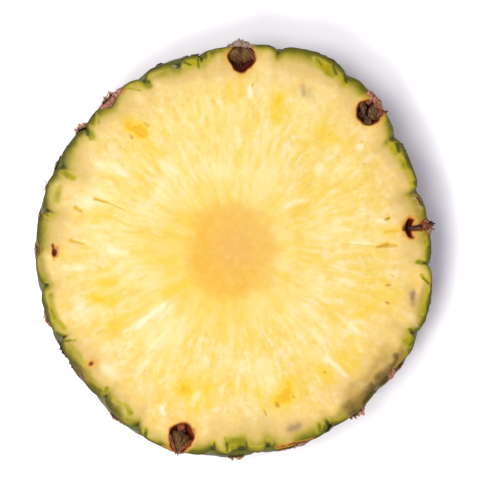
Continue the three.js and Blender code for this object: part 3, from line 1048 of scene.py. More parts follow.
def leaf_grid(tip, base, half_width, arch, roll, ragged):
    """Curved leaf from its base to its tip in a cup's own directions (outward, across, up): the
    middle line rises by the arch, and the sides droop, more strongly on a rolled side. A ragged
    leaf has jagged sides and is flatter."""
    tip = np.array(tip)
    base = np.array(base)
    along = np.linspace(0.0, 1.0, 17)[:, None, None]
    side = np.linspace(-1.0, 1.0, 13)[None, :, None]
    run = tip - base
    aside = np.array([-run[1], run[0], 0.0]) / math.hypot(run[0], run[1])
    own_place = 11.0 * tip[0] + 5.0 * base[1]
    jagged = noise(place_of(1.3 * side, 7.0 * along, own_place), 1.0, seed=125)
    width = half_width * np.sin(math.pi * (0.24 + 0.745 * along)) ** 0.8 * (1.0 + ragged * jagged)
    droop = width * ((0.45 - 0.5 * ragged) * side**2 + roll * side)
    rib = 0.09 * half_width * np.cos(3.0 * math.pi * side) * np.sin(math.pi * along)
    lift = arch * np.sin(math.pi * along) - droop + rib
    return base + run * along + aside * side * width + np.array([0.0, 0.0, 1.0]) * lift


def add_bud(leaves, middle, ragged, parts):
    """The dried flower in an opened cup, made of more or less ragged and crumpled leaves."""
    middle_x, middle_y = from_steps(*middle)
    radius = math.hypot(middle_x, middle_y)
    outward = np.array([middle_x / radius, middle_y / radius, 0.0])
    across = np.array([-outward[1], outward[0], 0.0])
    upward = np.array([0.0, 0.0, 1.0])
    origin = np.array([middle_x, middle_y, THICKNESS])
    for *shape, tint in parts:
        local = leaf_grid(*shape, ragged)
        grid = origin + local @ np.array([outward, across, upward])
        crumple = (0.10 + 0.4 * ragged) * noise(grid, 0.9, seed=121)
        crumple = crumple + (0.05 + 0.2 * ragged) * noise(grid, 0.4, seed=123)
        leaves.add(grid + upward * crumple[..., None], tint)


# Leaves of the dried flowers: tip and base (outward, across, up from the cup's middle at the cut
# face), half width, arch, roll, tint (0 maroon, 0.5 olive, 1 rust). Before them: the cup's middle
# and how ragged they are.
BUDS = (
    ((241.6, 58.5), 0.08, (
        ((3.2, 0.4, 0.0), (-0.9, 2.3, -2.3), 2.0, 1.7, -0.5, 0.60),
        ((3.2, 0.2, 0.0), (-0.8, -1.5, -2.4), 2.1, 1.7, 0.5, 0.50),
        ((3.3, 0.3, 0.2), (0.6, 0.3, -1.3), 0.45, 1.2, 0.0, 0.12),
        ((3.5, -0.6, 0.1), (0.7, -3.3, -0.5), 0.60, 0.8, 0.4, 0.66),
        ((3.8, -0.8, 0.0), (-0.4, -3.8, -0.6), 0.40, 0.4, 0.3, 1.00),
        ((3.5, 0.9, 0.1), (1.0, 3.3, -0.7), 0.40, 0.4, -0.3, 0.60),
    )),
    ((369.3, 112.3), 0.45, (
        ((0.8, 1.8, -0.9), (-0.8, 2.6, -0.9), 2.0, 0.5, 0.3, 0.30),
        ((2.0, -0.6, -0.5), (1.8, -3.4, -0.3), 1.9, 0.6, 0.0, 0.92),
        ((2.2, 0.8, -0.3), (-0.4, -2.6, -0.9), 1.7, 0.9, 0.3, 0.30),
        ((-0.6, -0.6, -1.1), (-2.9, -1.9, -0.9), 1.3, 0.5, 0.0, 0.26),
        ((-0.4, 1.2, -1.9), (-2.8, 0.6, -1.9), 1.5, 0.3, 0.0, 0.04),
        ((3.0, 1.4, -0.4), (1.6, 2.8, -0.6), 0.9, 0.3, 0.0, 0.80),
    )),
    ((180.5, 437.0), 0.15, (
        ((4.0, -0.2, -0.5), (-1.4, -1.4, -1.7), 1.7, 0.9, -0.2, 0.52),
        ((4.0, 0.3, -0.6), (-1.0, 1.6, -1.8), 1.5, 0.8, 0.2, 0.42),
        ((4.6, 0.0, -0.1), (0.2, -3.4, -0.4), 0.65, 0.35, -0.3, 0.92),
        ((4.6, 0.0, -0.1), (0.2, 3.4, -0.4), 0.65, 0.35, 0.3, 0.86),
        ((-1.2, -0.8, -1.9), (-3.6, -0.4, -0.9), 1.2, 0.4, 0.0, 1.00),
        ((0.2, 0.2, -1.1), (-2.2, 0.4, -1.2), 0.5, 0.4, 0.0, 0.10),
    )),
    ((411.0, 228.0), 0.45, (
        ((4.4, 0.5, 0.1), (-0.7, 0.0, -0.5), 0.40, 0.25, 0.2, 0.06),
        ((3.4, -0.2, 0.1), (0.6, -0.3, -0.2), 0.26, 0.20, 0.0, 0.50),
        ((5.0, 1.3, 0.2), (2.4, 0.9, 0.0), 0.40, 0.30, 0.2, 0.90),
        ((5.6, 0.4, 0.3), (3.0, 0.2, 0.0), 0.42, 0.35, -0.2, 0.72),
        ((5.0, -0.6, 0.2), (3.0, -0.3, 0.0), 0.36, 0.25, 0.2, 1.00),
        ((6.2, 1.0, 0.2), (4.0, 1.0, 0.1), 0.34, 0.25, 0.0, 0.04),
        ((6.4, 0.0, 0.1), (4.2, -0.2, 0.1), 0.34, 0.25, 0.0, 0.85),
        ((5.6, -0.9, 0.0), (4.4, -0.9, 0.1), 0.30, 0.20, 0.0, 0.10),
        ((4.4, 1.9, 0.0), (3.2, 1.3, 0.0), 0.28, 0.20, 0.0, 0.66),
        ((6.8, 0.4, 0.0), (5.4, 0.5, 0.1), 0.28, 0.20, 0.0, 0.08),
    )),
)


def make_buds(material):
    """The dried flowers in the opened cups."""
    leaves = Leaves()
    for middle, ragged, parts in BUDS:
        add_bud(leaves, middle, ragged, parts)
    return leaves.build("dried_flowers", material, thickness=0.16)


def tube(path, radii, sides=7):
    """Closed tapered tube along a path of points: a ring of points round each, in the two
    directions square to the path, and a cap point at both ends."""
    along = np.gradient(path, axis=0)
    along = along / np.linalg.norm(along, axis=1)[:, None]
    first = np.cross(along, np.array([0.31, 0.42, 0.85]))
    first = first / np.linalg.norm(first, axis=1)[:, None]
    second = np.cross(along, first)
    turn = (2.0 * math.pi * np.arange(sides) / sides)[:, None]
    spoke = np.cos(turn) * first[:, None] + np.sin(turn) * second[:, None]
    rings = path[:, None] + spoke * radii[:, None, None]
    points = np.concatenate([path[:1], rings.reshape(-1, 3), path[-1:]])
    faces = join_all_rings([1] + [sides] * len(path) + [1])
    return points, faces


# Spines, hairs and dry threads: ends (column, row, height under the cut face), radius, bend
THREADS = (
    ((428.0, 226.5, 0.2), (435.2, 229.6, 0.6), 0.24, 0.3),
    ((419.0, 224.0, 0.1), (431.0, 224.5, 0.4), 0.16, 0.5),
    ((420.0, 231.0, 0.2), (430.0, 234.5, 0.5), 0.13, -0.4),
    ((46.0, 187.0, 2.0), (40.5, 189.5, 2.4), 0.10, 0.3),
    ((46.5, 182.0, 2.2), (42.0, 180.5, 2.8), 0.10, -0.2),
    ((48.0, 318.0, 2.2), (43.0, 307.5, 2.6), 0.11, 0.4),
    ((64.5, 348.0, 3.0), (62.0, 355.5, 3.4), 0.13, 0.3),
    ((75.0, 362.0, 2.6), (71.0, 368.0, 3.2), 0.13, -0.3),
    ((240.5, 45.0, 0.8), (240.2, 38.6, 1.0), 0.14, 0.2),
    ((178.5, 452.0, 0.8), (177.0, 457.0, 1.0), 0.18, 0.1),
    ((78.0, 127.0, 1.6), (75.5, 131.0, 2.2), 0.12, 0.2),
    ((104.0, 99.0, 1.2), (108.5, 90.0, 1.6), 0.14, 0.3),
    ((417.0, 198.0, -0.1), (421.5, 207.0, 0.1), 0.20, 0.4),
    ((416.0, 196.5, 0.2), (419.5, 200.5, 0.0), 0.17, 0.3),
    ((247.0, 62.0, 1.0), (239.0, 70.0, 1.6), 0.12, 0.4),
    ((240.0, 62.0, 1.2), (243.5, 71.5, 1.7), 0.12, -0.3),
    ((237.0, 62.0, 1.3), (238.5, 68.5, 1.9), 0.11, 0.3),
)


def make_threads(material):
    """Spines and dry threads: tapered tubes along a line that bows to one side by its bend."""
    tubes = []
    share = np.linspace(0.0, 1.0, 9)
    for start, end, radius, bend in THREADS:
        start_x, start_y = from_steps(*start[:2])
        end_x, end_y = from_steps(*end[:2])
        bow = bend * np.sin(math.pi * share)
        x = start_x + (end_x - start_x) * share + 0.7 * bow
        y = start_y + (end_y - start_y) * share - 0.7 * bow
        z = THICKNESS - (start[2] + (end[2] - start[2]) * share) + 0.3 * bow
        tubes.append(tube(place_of(x, y, z), radius * (1.0 - 0.85 * share**2)))
    return make_shells("spines", tubes, 0.15, material)


def blossom(number, angle, height):
    """Small dome with three folds on the rind: rings of points that shrink from its edge to its
    top, closed by a foot inside the rind. The number turns its folds."""
    rows = 7
    columns = 18
    turn = 2.0 * math.pi * np.arange(columns) / columns
    reach = np.linspace(1.0, 0.12, rows)[:, None]
    fold = 1.0 + 0.22 * np.cos(3.0 * turn + number)
    across = 1.55 * reach * fold * np.cos(turn)
    upward = 1.25 * reach * fold * np.sin(turn) + 0.3 * (1.0 - reach)
    rough = noise(place_of(2.0 * across, 2.0 * upward, 3.0 * number), 0.9, seed=131)
    stand = 1.5 * np.sqrt(1.0 - 0.92 * reach**2) - 0.5 + 0.25 * rough
    base = outline_radius(angle) + rind_relief(np.array([angle]), np.array([height]))[0]
    grid = rind_place(angle + across / MEAN_RADIUS, base + stand, height + upward)
    foot = rind_place(angle, base - 1.2, height)
    points = np.concatenate([foot[None], grid.reshape(-1, 3), grid[-1].mean(axis=0)[None]])
    faces = join_all_rings([1] + [columns] * rows + [1])[:, ::-1]
    return points, faces


def make_blossoms(material):
    """The withered flowers in the dimples of the eyes, where the whole flower is on the side."""
    heights = EYE_HEIGHTS + DIMPLE_RISE - 0.3
    domes = [
        blossom(number, angle, height)
        for number, (angle, height) in enumerate(zip(EYE_ANGLES, heights))
        if 2.0 < height < THICKNESS - 2.2
    ]
    return make_shells("withered_blossoms", domes, 0.28, material)


# ---------------------------------------------------------------- materials

# Colours, as screen values of red, green and blue from 0 to 255. Flesh:
BUNDLE_DEEP = (214, 189, 92)
BUNDLE_PALE = (216, 196, 120)
RIPE_SIDE = (214, 182, 90)
UNRIPE_SIDE = (213, 203, 122)
CLOUD_PALE = (220, 204, 138)
CLOUD_DEEP = (213, 180, 66)
STREAK_PALE = (221, 206, 162)
STREAK_DEEP = (212, 176, 68)
BLOTCH_PALE = (222, 208, 168)
HAIR_PALE_AND_GLINT = (224, 212, 168)
# Pale specks: pale mottling, partly painted glints of the wet flesh
SPECK_PALE = (228, 216, 176)
SPECK_ORANGE = (208, 168, 84)
RIM_CREAM = (210, 178, 112)
RIPE_LEMON = (214, 181, 26)
RIPE_ORANGE = (212, 163, 34)
PALE_CREAM = (226, 216, 176)
# Core
CORE_RING = (214, 180, 58)
CORE_BRIGHT = (212, 165, 58)
CORE_DULL = (211, 169, 78)
CORE_MIDDLE = (208, 159, 82)
CORE_SPECK_PALE = (213, 173, 90)
CORE_SPECK_DEEP = (209, 158, 64)
# Green rim
RIM_OLIVE_CREAM = (188, 162, 86)
RIM_SHADE = (142, 126, 44)
RIM_LIME = (156, 142, 36)
RIM_GREEN = (116, 108, 6)
RIM_DARK = (76, 76, 0)
FOLD_PALE = (176, 162, 58)
FOLD_LIME = (156, 144, 0)
FOLD_GREEN = (122, 118, 0)
CREASE_GREEN = (54, 56, 0)
SKIN_EDGE = (36, 38, 4)
# Marks
OLIVE_PALE = (150, 120, 52)
OLIVE_DARK = (52, 46, 8)
BRUISE_MAUVE = (128, 96, 76)
SLIT_PALE = (208, 168, 58)
SLIT_DEEP = (203, 160, 46)
SLIT_DARK_AND_SHADE = (150, 98, 4)
WRINKLE_PAINTED_GLINT = (222, 212, 178)
CUP_HALO = (204, 154, 58)
CUP_EDGE = (160, 100, 34)
CUP_RED = (120, 48, 12)
CUP_BROWN = (88, 28, 10)
CUP_DARK_AND_SHADE = (66, 22, 10)
RUST_PALE = (184, 122, 40)
RUST_DARK = (96, 40, 16)
# Rind
RIND_DARK = (46, 45, 12)
RIND_LIGHT = (84, 80, 26)
RIND_BLOOM = (106, 103, 78)
RIND_EYE = (112, 92, 38)
RIND_SEAM = (90, 94, 8)
RIND_GROOVE = (30, 30, 4)
RIND_SPECK = (140, 132, 100)
# Dry scales and flowers
FOOT_DARK = (58, 58, 16)
FOOT_LIGHT = (92, 86, 32)
LINE_DARK = (46, 16, 10)
BLOTCH_DARK = (60, 26, 16)
MOTTLE_DARK = (58, 24, 16)
EDGE_DARK = (50, 18, 12)

# Per metre: the ways in which the flesh grows riper and the core's edge duller
RIPENING = (8.0, -10.0, 0.0)
CORE_DULLING = (42.0, 28.0, 0.0)


def linear_colour(red, green, blue):
    """Linear colour, with full cover, from screen values."""
    shares = np.array([red, green, blue]) / 255.0
    linear = np.where(shares <= 0.04045, shares / 12.92, ((shares + 0.055) / 1.055) ** 2.4)
    return (*(float(value) for value in linear), 1.0)


class Nodes:
    """Node tree of a material. A value is a number, a vector or another node's output."""

    def __init__(self, name):
        self.material = bpy.data.materials.new(name)
        self.material.use_nodes = True
        self.tree = self.material.node_tree
        self.shader = next(node for node in self.tree.nodes if node.type == "BSDF_PRINCIPLED")

    def feed(self, socket, value):
        """Puts a value into a socket."""
        if isinstance(value, bpy.types.NodeSocket):
            self.tree.links.new(value, socket)
        else:
            socket.default_value = value

    def add(self, kind, values=(), **settings):
        """New node of a kind with its settings; the values go into its first sockets, or into
        those that they name."""
        node = self.tree.nodes.new(kind)
        for setting, choice in settings.items():
            setattr(node, setting, choice)
        named = values if isinstance(values, dict) else dict(enumerate(values))
        for socket, value in named.items():
            self.feed(node.inputs[socket], value)
        return node

    def finish(self, values):
        """Puts values into the shader's sockets by name, and gives the material back."""
        for name, value in values.items():
            self.feed(self.shader.inputs[name], value)
        return self.material

    def object_place(self):
        """Place on the object, in metres."""
        return self.add("ShaderNodeTexCoord").outputs["Object"]

    def attribute(self, name):
        """Number that the mesh carries at each point."""
        return self.add("ShaderNodeAttribute", attribute_name=name).outputs["Fac"]

    def maths(self, operation, *values):
        """One sum of numbers."""
        return self.add("ShaderNodeMath", values, operation=operation).outputs[0]

    def plus(self, first, second):
        return self.maths("ADD", first, second)

    def times(self, first, second):
        return self.maths("MULTIPLY", first, second)

    def vector_maths(self, operation, *values, output="Vector"):
        """One sum of vectors."""
        node = self.add("ShaderNodeVectorMath", values, operation=operation)
        return node.outputs[output]

    def scaled(self, vector, factor):
        """Vector times a number."""
        values = {"Vector": vector, "Scale": factor}
        node = self.add("ShaderNodeVectorMath", values, operation="SCALE")
        return node.outputs["Vector"]

    def combined(self, x, y, z):
        """Vector of three numbers."""
        return self.add("ShaderNodeCombineXYZ", (x, y, z)).outputs[0]

    def noise(self, vector, scale, detail, roughness=0.5, output="Fac"):
        """Smooth noise from 0 to 1 or, from its other output, three such noises."""
        values = {"Vector": vector, "Scale": scale, "Detail": detail, "Roughness": roughness}
        return self.add("ShaderNodeTexNoise", values).outputs[output]

    def ramp(self, value, low, high, new_low=0.0, new_high=1.0):
        """Smooth step of a number from one range to another."""
        values = (value, low, high, new_low, new_high)
        node = self.add("ShaderNodeMapRange", values, interpolation_type="SMOOTHSTEP")
        return node.outputs[0]

    def centred(self, noise, size):
        """A noise round a half, moved to zero and scaled."""
        return self.times(self.maths("SUBTRACT", noise, 0.5), size)

    def cover(self, under, over, amount):
        """The first colour, covered with the second by an amount from 0 to 1. Screen values or
        another node's output."""
        colours = [
            linear_colour(*colour) if isinstance(colour, tuple) else colour
            for colour in (under, over)
        ]
        values = {0: amount, 6: colours[0], 7: colours[1]}
        node = self.add("ShaderNodeMix", values, data_type="RGBA", clamp_factor=True)
        return node.outputs[2]

    def tint(self, under, over, value, start, full, most=1.0, within=None):
        """Covers a colour more and more while a number goes from the start to the full value,
        by the given share at most, and only within another share."""
        amount = self.ramp(value, start, full, 0.0, most)
        if within is not None:
            amount = self.times(amount, within)
        return self.cover(under, over, amount)

    def bump(self, height, strength, distance, normal=None):
        """Normal that is tipped by the slopes of a height; the distance is in metres."""
        values = {"Strength": strength, "Distance": distance, "Height": height}
        if normal is not None:
            values["Normal"] = normal
        return self.add("ShaderNodeBump", values).outputs["Normal"]

    def wavy(self, place, scale, reach):
        """Places shifted by a smooth noise, by at most half the reach each way."""
        shift = self.noise(place, scale, 1.0, output="Color")
        offset = self.vector_maths("SUBTRACT", shift, (0.5, 0.5, 0.5))
        return self.vector_maths("ADD", place, self.scaled(offset, reach))

    def fibres(self, place, fineness, stretch):
        """Coordinates that turn noise into streaks from the middle outwards: the direction,
        scaled up, with a little of the radius as the third number."""
        flat = self.vector_maths("MULTIPLY", place, (1.0, 1.0, 0.0))
        radius = self.vector_maths("LENGTH", flat, output="Value")
        spread = self.scaled(self.vector_maths("NORMALIZE", flat), fineness)
        along = self.combined(0.0, 0.0, self.times(radius, stretch / MM))
        return self.vector_maths("ADD", spread, along)


class FruitNoises:
    """The noises that the fruit's colours and bumps share, from coarse fibres to fine grain."""

    def __init__(self, nodes):
        self.place = nodes.object_place()
        bent = nodes.wavy(self.place, 110.0, 0.0026)
        self.bundles = nodes.noise(nodes.fibres(bent, 7.0, 0.07), 1.0, 1.0)
        self.streaks = nodes.noise(nodes.fibres(bent, 21.0, 0.19), 1.0, 1.5)
        self.hairs = nodes.noise(nodes.fibres(bent, 56.0, 0.50), 1.0, 2.0, 0.55)
        self.clouds = nodes.noise(bent, 75.0, 3.0, 0.55)
        self.blotches = nodes.noise(self.place, 230.0, 3.0, 0.55)
        self.specks = nodes.noise(self.place, 640.0, 2.0, 0.6)
        self.grain = nodes.noise(self.place, 1100.0, 2.0, 0.6)


def flesh_colour(nodes, noises):
    """Yellow flesh with streaks from the middle outwards, and riper and paler patches."""
    inset = nodes.attribute("inset")
    colour = nodes.tint(BUNDLE_DEEP, BUNDLE_PALE, noises.bundles, 0.39, 0.61)
    # One side of the fruit is riper than the other
    riper = nodes.vector_maths("DOT_PRODUCT", noises.place, RIPENING, output="Value")
    colour = nodes.tint(colour, RIPE_SIDE, riper, 0.0, 0.75, 0.5)
    colour = nodes.tint(colour, UNRIPE_SIDE, riper, -0.1, -0.75, 0.5)
    colour = nodes.tint(colour, CLOUD_PALE, noises.clouds, 0.50, 0.70, 0.85)
    colour = nodes.tint(colour, CLOUD_DEEP, noises.clouds, 0.47, 0.30, 0.7)
    # The streaks are weak near the core
    far = nodes.ramp(inset, 42.0, 27.0, 0.18, 1.0)
    colour = nodes.tint(colour, STREAK_PALE, noises.streaks, 0.52, 0.74, 0.65, far)
    colour = nodes.tint(colour, STREAK_DEEP, noises.streaks, 0.46, 0.28, 0.5, far)
    colour = nodes.tint(colour, BLOTCH_PALE, noises.blotches, 0.54, 0.76, 0.55, far)
    # Pale fine hairs of the flesh, partly painted glints of its wet surface
    colour = nodes.tint(colour, HAIR_PALE_AND_GLINT, noises.hairs, 0.58, 0.76, 0.28, far)
    # Deeper yellow round the core on one side, and creamier flesh towards the rim
    duller = nodes.vector_maths("DOT_PRODUCT", noises.place, CORE_DULLING, output="Value")
    one_side = nodes.ramp(duller, -0.6, 0.5, 0.5, 0.0)
    colour = nodes.tint(colour, CORE_RING, inset, 29.0, 41.0, 1.0, one_side)
    cloudy = nodes.ramp(noises.clouds, 0.34, 0.60, 0.40, 0.88)
    colour = nodes.tint(colour, RIM_CREAM, inset, 17.0, 4.0, 1.0, cloudy)
    # Pale specks near the rim: pale mottling of the flesh, partly painted glints of its wet surface
    near_rim = nodes.ramp(inset, 34.0, 4.0, 0.25, 1.0)
    colour = nodes.tint(colour, SPECK_PALE, noises.specks, 0.55, 0.72, 0.3, near_rim)
    colour = nodes.tint(colour, SPECK_ORANGE, noises.specks, 0.44, 0.30, 0.5, near_rim)
    # Patches
    mottled = nodes.ramp(noises.blotches, 0.30, 0.60, 0.6, 1.0)
    ripe = nodes.times(nodes.attribute("ripe"), mottled)
    lemon_to_orange = nodes.tint(RIPE_LEMON, RIPE_ORANGE, ripe, 0.72, 1.20)
    colour = nodes.cover(colour, lemon_to_orange, ripe)
    # Pale streaks, one of them a painted wet highlight
    streaked = nodes.ramp(noises.streaks, 0.35, 0.60, 0.6, 1.0)
    colour = nodes.cover(colour, PALE_CREAM, nodes.times(nodes.attribute("pale"), streaked))
    # The core is dull in the middle and brightest along one side of its edge
    core = nodes.tint(CORE_BRIGHT, CORE_DULL, duller, -0.4, 0.5)
    core = nodes.tint(core, CORE_MIDDLE, inset, 46.0, 54.5, 0.9)
    core = nodes.tint(core, CORE_SPECK_PALE, noises.specks, 0.50, 0.70, 0.5)
    core = nodes.tint(core, CORE_SPECK_DEEP, noises.specks, 0.46, 0.32, 0.4)
    return nodes.cover(colour, core, nodes.times(nodes.attribute("core"), 0.92))


def rim_colour(nodes, colour, noises):
    """Adds the green rim, its seams and folds, and the thin dark skin to the flesh."""
    inset = nodes.attribute("inset")
    to_seam = nodes.attribute("seam")
    # Greenish cream a few millimetres wide, then a green band that darkens outwards; both reach
    # further in at the seams between the eyes
    near_seam = nodes.ramp(to_seam, 3.2, 0.2)
    reach = nodes.ramp(noises.clouds, 0.36, 0.64, 0.54, 1.62)
    reach = nodes.plus(reach, nodes.times(near_seam, 0.5))
    rough_inset = nodes.plus(inset, nodes.centred(noises.blotches, 1.3))
    band = nodes.maths("DIVIDE", rough_inset, reach)
    colour = nodes.tint(colour, RIM_OLIVE_CREAM, band, 6.5, 1.6, 0.85)
    shade = nodes.times(nodes.attribute("shade"), nodes.ramp(inset, 5.0, 0.5, 0.2, 1.3))
    colour = nodes.tint(colour, RIM_SHADE, shade, 0.05, 1.0, 0.85)
    colour = nodes.tint(colour, RIM_LIME, band, 2.8, 1.2, 0.85)
    colour = nodes.tint(colour, RIM_GREEN, band, 1.8, 0.8, 0.9)
    # Folds and seams
    fold = nodes.attribute("green")
    ragged_fold = nodes.plus(fold, nodes.centred(noises.blotches, 0.4))
    colour = nodes.tint(colour, FOLD_PALE, ragged_fold, 0.06, 0.55, 0.8)
    bright = nodes.tint(FOLD_LIME, FOLD_GREEN, noises.blotches, 0.40, 0.64)
    colour = nodes.tint(colour, bright, ragged_fold, 0.24, 0.90, 0.97)
    beside_folds = nodes.ramp(fold, 0.2, 1.0, 1.0, 0.45)
    colour = nodes.tint(colour, RIM_DARK, band, 1.1, 0.35, 0.9, beside_folds)
    seam = nodes.times(nodes.ramp(to_seam, 0.8, 0.1), nodes.ramp(inset, 2.2, 0.5))
    crease = nodes.maths("MAXIMUM", nodes.attribute("crease"), seam)
    colour = nodes.tint(colour, CREASE_GREEN, crease, 0.15, 1.0, 0.95)
    # Skin
    skin_reach = nodes.ramp(noises.clouds, 0.35, 0.65, 0.20, 0.36)
    skin = nodes.maths("DIVIDE", inset, skin_reach)
    return nodes.tint(colour, SKIN_EDGE, skin, 1.1, 0.5, 1.0, 0.75)


def marks_colour(nodes, colour, noises):
    """Adds olive zones, bruises, slits with painted shade at their strongest, painted glints on
    wrinkles, rust stains, and the brown of the opened cups with painted shade in their deep
    middles.
    """
    blotches = noises.blotches
    olive = nodes.times(nodes.attribute("olive"), nodes.ramp(blotches, 0.32, 0.62, 0.85, 1.1))
    colour = nodes.tint(colour, OLIVE_PALE, olive, 0.04, 0.85, 0.9)
    colour = nodes.tint(colour, OLIVE_DARK, olive, 0.45, 1.30, 0.95)
    bruise = nodes.times(nodes.attribute("bruise"), nodes.ramp(blotches, 0.35, 0.6, 0.55, 1.0))
    colour = nodes.cover(colour, BRUISE_MAUVE, bruise)
    slit = nodes.attribute("slit")
    colour = nodes.tint(colour, SLIT_PALE, slit, 0.12, 0.6, 0.85)
    colour = nodes.tint(colour, SLIT_DEEP, slit, 0.6, 1.0, 0.7)
    # The strongest parts of the slits: darker brown with painted shade
    colour = nodes.tint(colour, SLIT_DARK_AND_SHADE, slit, 0.95, 1.55, 0.9)
    wrinkle = nodes.attribute("wrinkle")
    # Painted glints on the wrinkled places
    colour = nodes.tint(colour, WRINKLE_PAINTED_GLINT, noises.hairs, 0.44, 0.60, 0.2, wrinkle)
    cup = nodes.attribute("cup")
    cloudy = nodes.ramp(noises.clouds, 0.35, 0.6, 0.3, 1.0)
    colour = nodes.tint(colour, CUP_HALO, cup, -0.55, 0.0, 0.7, cloudy)
    colour = nodes.tint(colour, CUP_EDGE, cup, -0.13, -0.01, 0.9)
    rust = nodes.times(nodes.attribute("rust"), nodes.ramp(blotches, 0.32, 0.62, 0.6, 1.15))
    colour = nodes.tint(colour, RUST_PALE, rust, 0.12, 0.5, 0.75)
    colour = nodes.tint(colour, RUST_DARK, rust, 0.5, 0.9, 0.9)
    wall = nodes.tint(CUP_RED, CUP_BROWN, blotches, 0.40, 0.62)
    colour = nodes.tint(colour, wall, cup, -0.04, 0.09)
    # Painted shade deep in the middle of each cup, over its dark lining
    return nodes.tint(colour, CUP_DARK_AND_SHADE, cup, 0.16, 0.46)


def rind_colour(nodes, noises):
    """Olive rind with a grey bloom, green seams and browner middles of the eyes."""
    seam = nodes.attribute("seam")
    up = nodes.attribute("eye_up")
    across = nodes.attribute("eye_across")
    from_eye = nodes.plus(nodes.times(across, across), nodes.times(up, up))
    colour = nodes.tint(RIND_DARK, RIND_LIGHT, noises.blotches, 0.34, 0.66)
    colour = nodes.tint(colour, RIND_BLOOM, noises.clouds, 0.48, 0.72, 0.5)
    colour = nodes.tint(colour, RIND_EYE, from_eye, 22.0, 3.0, 0.7)
    colour = nodes.tint(colour, RIND_SEAM, seam, 2.2, 0.4, 0.8)
    colour = nodes.tint(colour, RIND_GROOVE, seam, 0.5, 0.1, 0.8)
    return nodes.tint(colour, RIND_SPECK, noises.grain, 0.58, 0.80, 0.4)


def make_fruit_material():
    """Wet fibrous flesh, orange core, green rim and rough olive rind."""
    nodes = Nodes("fruit")
    noises = FruitNoises(nodes)
    colour = flesh_colour(nodes, noises)
    colour = rim_colour(nodes, colour, noises)
    colour = marks_colour(nodes, colour, noises)
    skin = nodes.attribute("skin")
    colour = nodes.tint(colour, rind_colour(nodes, noises), skin, 0.2, 0.8)

    roughness = nodes.ramp(noises.grain, 0.35, 0.7, 0.30, 0.50)
    roughness = nodes.plus(roughness, nodes.times(skin, 0.2))
    fibres = nodes.plus(noises.streaks, nodes.times(noises.hairs, 0.35))
    far = nodes.ramp(nodes.attribute("inset"), 44.0, 28.0, 0.15, 1.0)
    height = nodes.plus(nodes.times(fibres, far), nodes.times(noises.grain, 0.35))
    normal = nodes.bump(height, 0.35, 0.22 * MM)
    beads = nodes.ramp(nodes.noise(noises.place, 900.0, 1.0), 0.62, 0.78)
    return nodes.finish({
        "Base Color": colour,
        "Roughness": roughness,
        "Normal": normal,
        "Specular IOR Level": 0.12,
        "Subsurface Weight": 0.10,
        "Subsurface Radius": (1.0, 0.6, 0.2),
        "Subsurface Scale": MM,
        "Coat Weight": 0.08,
        "Coat Roughness": 0.10,
        "Coat Normal": nodes.bump(beads, 0.7, 0.4 * MM, normal),
    })


def make_dry_material(name, dark, middle, light, shine, shine_share, edge_share):
    """Dry plant matter: three colours by the leaf's tint, a green foot on the leaves that lie
    against the rind, fine lines from base to tip, and pale lines and specks of painted shine."""
    nodes = Nodes(name)
    place = nodes.object_place()
    tint = nodes.attribute("tint")
    side = nodes.attribute("side")
    along = nodes.attribute("along")
    lengthwise = nodes.combined(
        nodes.times(side, 7.0), nodes.times(along, 1.6), nodes.times(tint, 40.0))
    lines = nodes.noise(lengthwise, 1.0, 3.0, 0.6)
    blotches = nodes.noise(place, 420.0, 3.0, 0.6)
    mottles = nodes.noise(place, 1900.0, 2.0, 0.6)

    colour = nodes.tint(dark, middle, tint, 0.05, 0.5)
    colour = nodes.tint(colour, light, tint, 0.5, 0.95)
    foot = nodes.tint(FOOT_DARK, FOOT_LIGHT, blotches, 0.4, 0.6)
    colour = nodes.tint(colour, foot, along, 0.72, 0.2, 0.9, nodes.attribute("foot"))
    tinted = nodes.ramp(tint, 0.0, 0.3, 0.35, 1.0)
    # Painted shine along the lines and, below, in fine specks
    colour = nodes.tint(colour, shine, lines, 0.52, 0.74, shine_share, tinted)
    colour = nodes.tint(colour, LINE_DARK, lines, 0.46, 0.30, 0.85)
    colour = nodes.tint(colour, BLOTCH_DARK, blotches, 0.54, 0.72, 0.5)
    colour = nodes.tint(colour, shine, mottles, 0.56, 0.70, shine_share)
    colour = nodes.tint(colour, MOTTLE_DARK, mottles, 0.46, 0.32, 0.8)
    colour = nodes.tint(colour, EDGE_DARK, nodes.times(side, side), 0.45, 0.95, edge_share)
    height = nodes.plus(lines, nodes.times(mottles, 0.6))
    return nodes.finish({
        "Base Color": colour,
        "Roughness": nodes.ramp(blotches, 0.3, 0.7, 0.45, 0.7),
        "Normal": nodes.bump(height, 0.6, 0.25 * MM),
        "Specular IOR Level": 0.2,
    })


def make_floor():
    """Plain white floor."""
    nodes = Nodes("white_floor")
    material = nodes.finish({"Base Color": (0.96, 0.96, 0.97, 1.0), "Roughness": 0.9})
    half = 1500.0
    corners = ((-half, -half, 0.0), (half, -half, 0.0), (half, half, 0.0), (-half, half, 0.0))
    floor = make_object("floor", np.array(corners), np.array([[0, 1, 2, 3]]), material)


# ---------------------------------------------------------------- camera and light

CAMERA_HEIGHT = 900.0


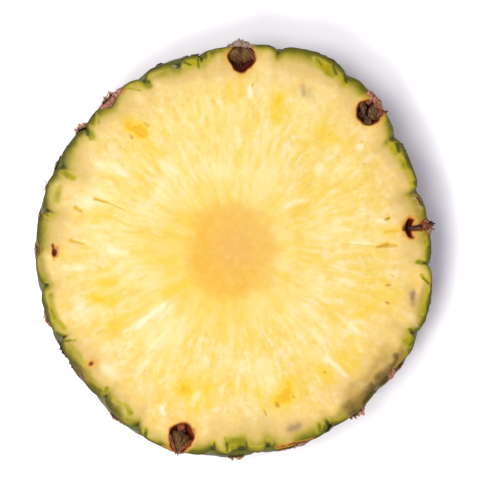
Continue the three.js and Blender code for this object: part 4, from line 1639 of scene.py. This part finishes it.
def make_camera():
    """Camera straight above the slice; its sideways place puts the slice a little left of the
    middle of the frame, and its lens makes each step of the frame a STEP on the face."""
    data = bpy.data.cameras.new("camera")
    data.sensor_fit = "HORIZONTAL"
    data.sensor_width = 36.0
    data.lens = data.sensor_width * (CAMERA_HEIGHT - THICKNESS) / (FRAME_WIDTH * STEP)
    data.clip_start = 0.05
    data.clip_end = 20.0
    camera = bpy.data.objects.new("camera", data)
    right, up = from_steps(FRAME_WIDTH / 2, FRAME_HEIGHT / 2)
    camera.location = (right * MM, up * MM, CAMERA_HEIGHT * MM)
    bpy.context.scene.collection.objects.link(camera)
    bpy.context.scene.camera = camera


def make_lamp(name, azimuth, elevation, distance, size, share):
    """Square soft warm lamp that faces the slice from an azimuth and an elevation in degrees, at
    a distance in metres. Its share is the brightness that it gives a white level floor."""
    azimuth = math.radians(azimuth)
    elevation = math.radians(elevation)
    data = bpy.data.lights.new(name, "AREA")
    data.shape = "SQUARE"
    data.size = size
    data.energy = share * math.pi**2 * distance**2 / math.sin(elevation)
    data.color = (1.0, 0.985, 0.955)
    lamp = bpy.data.objects.new(name, data)
    flat = math.cos(elevation) * distance
    lamp.location = (
        flat * math.cos(azimuth), flat * math.sin(azimuth), math.sin(elevation) * distance)
    lamp.rotation_euler = (math.pi / 2 - elevation, 0.0, azimuth + math.pi / 2)
    bpy.context.scene.collection.objects.link(lamp)


def make_lights():
    """A high soft lamp on the left, a lower one towards the viewer, and a pale surround."""
    world = bpy.data.worlds.new("surround")
    bpy.context.scene.world = world
    world.use_nodes = True
    background = world.node_tree.nodes["Background"]
    background.inputs["Color"].default_value = (0.92, 0.87, 1.0, 1.0)
    background.inputs["Strength"].default_value = 0.605
    make_lamp("key", azimuth=172.0, elevation=67.0, distance=1.5, size=0.78, share=0.53)
    make_lamp("second", azimuth=236.0, elevation=49.0, distance=1.5, size=0.56, share=0.453)


# ---------------------------------------------------------------- build

fruit_material = make_fruit_material()
scale_material = make_dry_material(
    "dry_scale", dark=(100, 98, 88), middle=(190, 142, 118), light=(138, 82, 56),
    shine=(216, 188, 172), shine_share=0.5, edge_share=0.25)
flower_material = make_dry_material(
    "dried_flower", dark=(52, 16, 12), middle=(94, 68, 28), light=(122, 58, 22),
    shine=(176, 136, 110), shine_share=0.35, edge_share=0.6)

pieces = [
    make_body(fruit_material),
    make_bracts(scale_material),
    make_buds(flower_material),
    make_threads(flower_material),
    make_blossoms(flower_material),
]
for piece in pieces:
    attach(piece, "root")
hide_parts("pineapple_slice")
make_floor()
make_camera()
make_lights()
bpy.context.scene.view_settings.view_transform = "Standard"
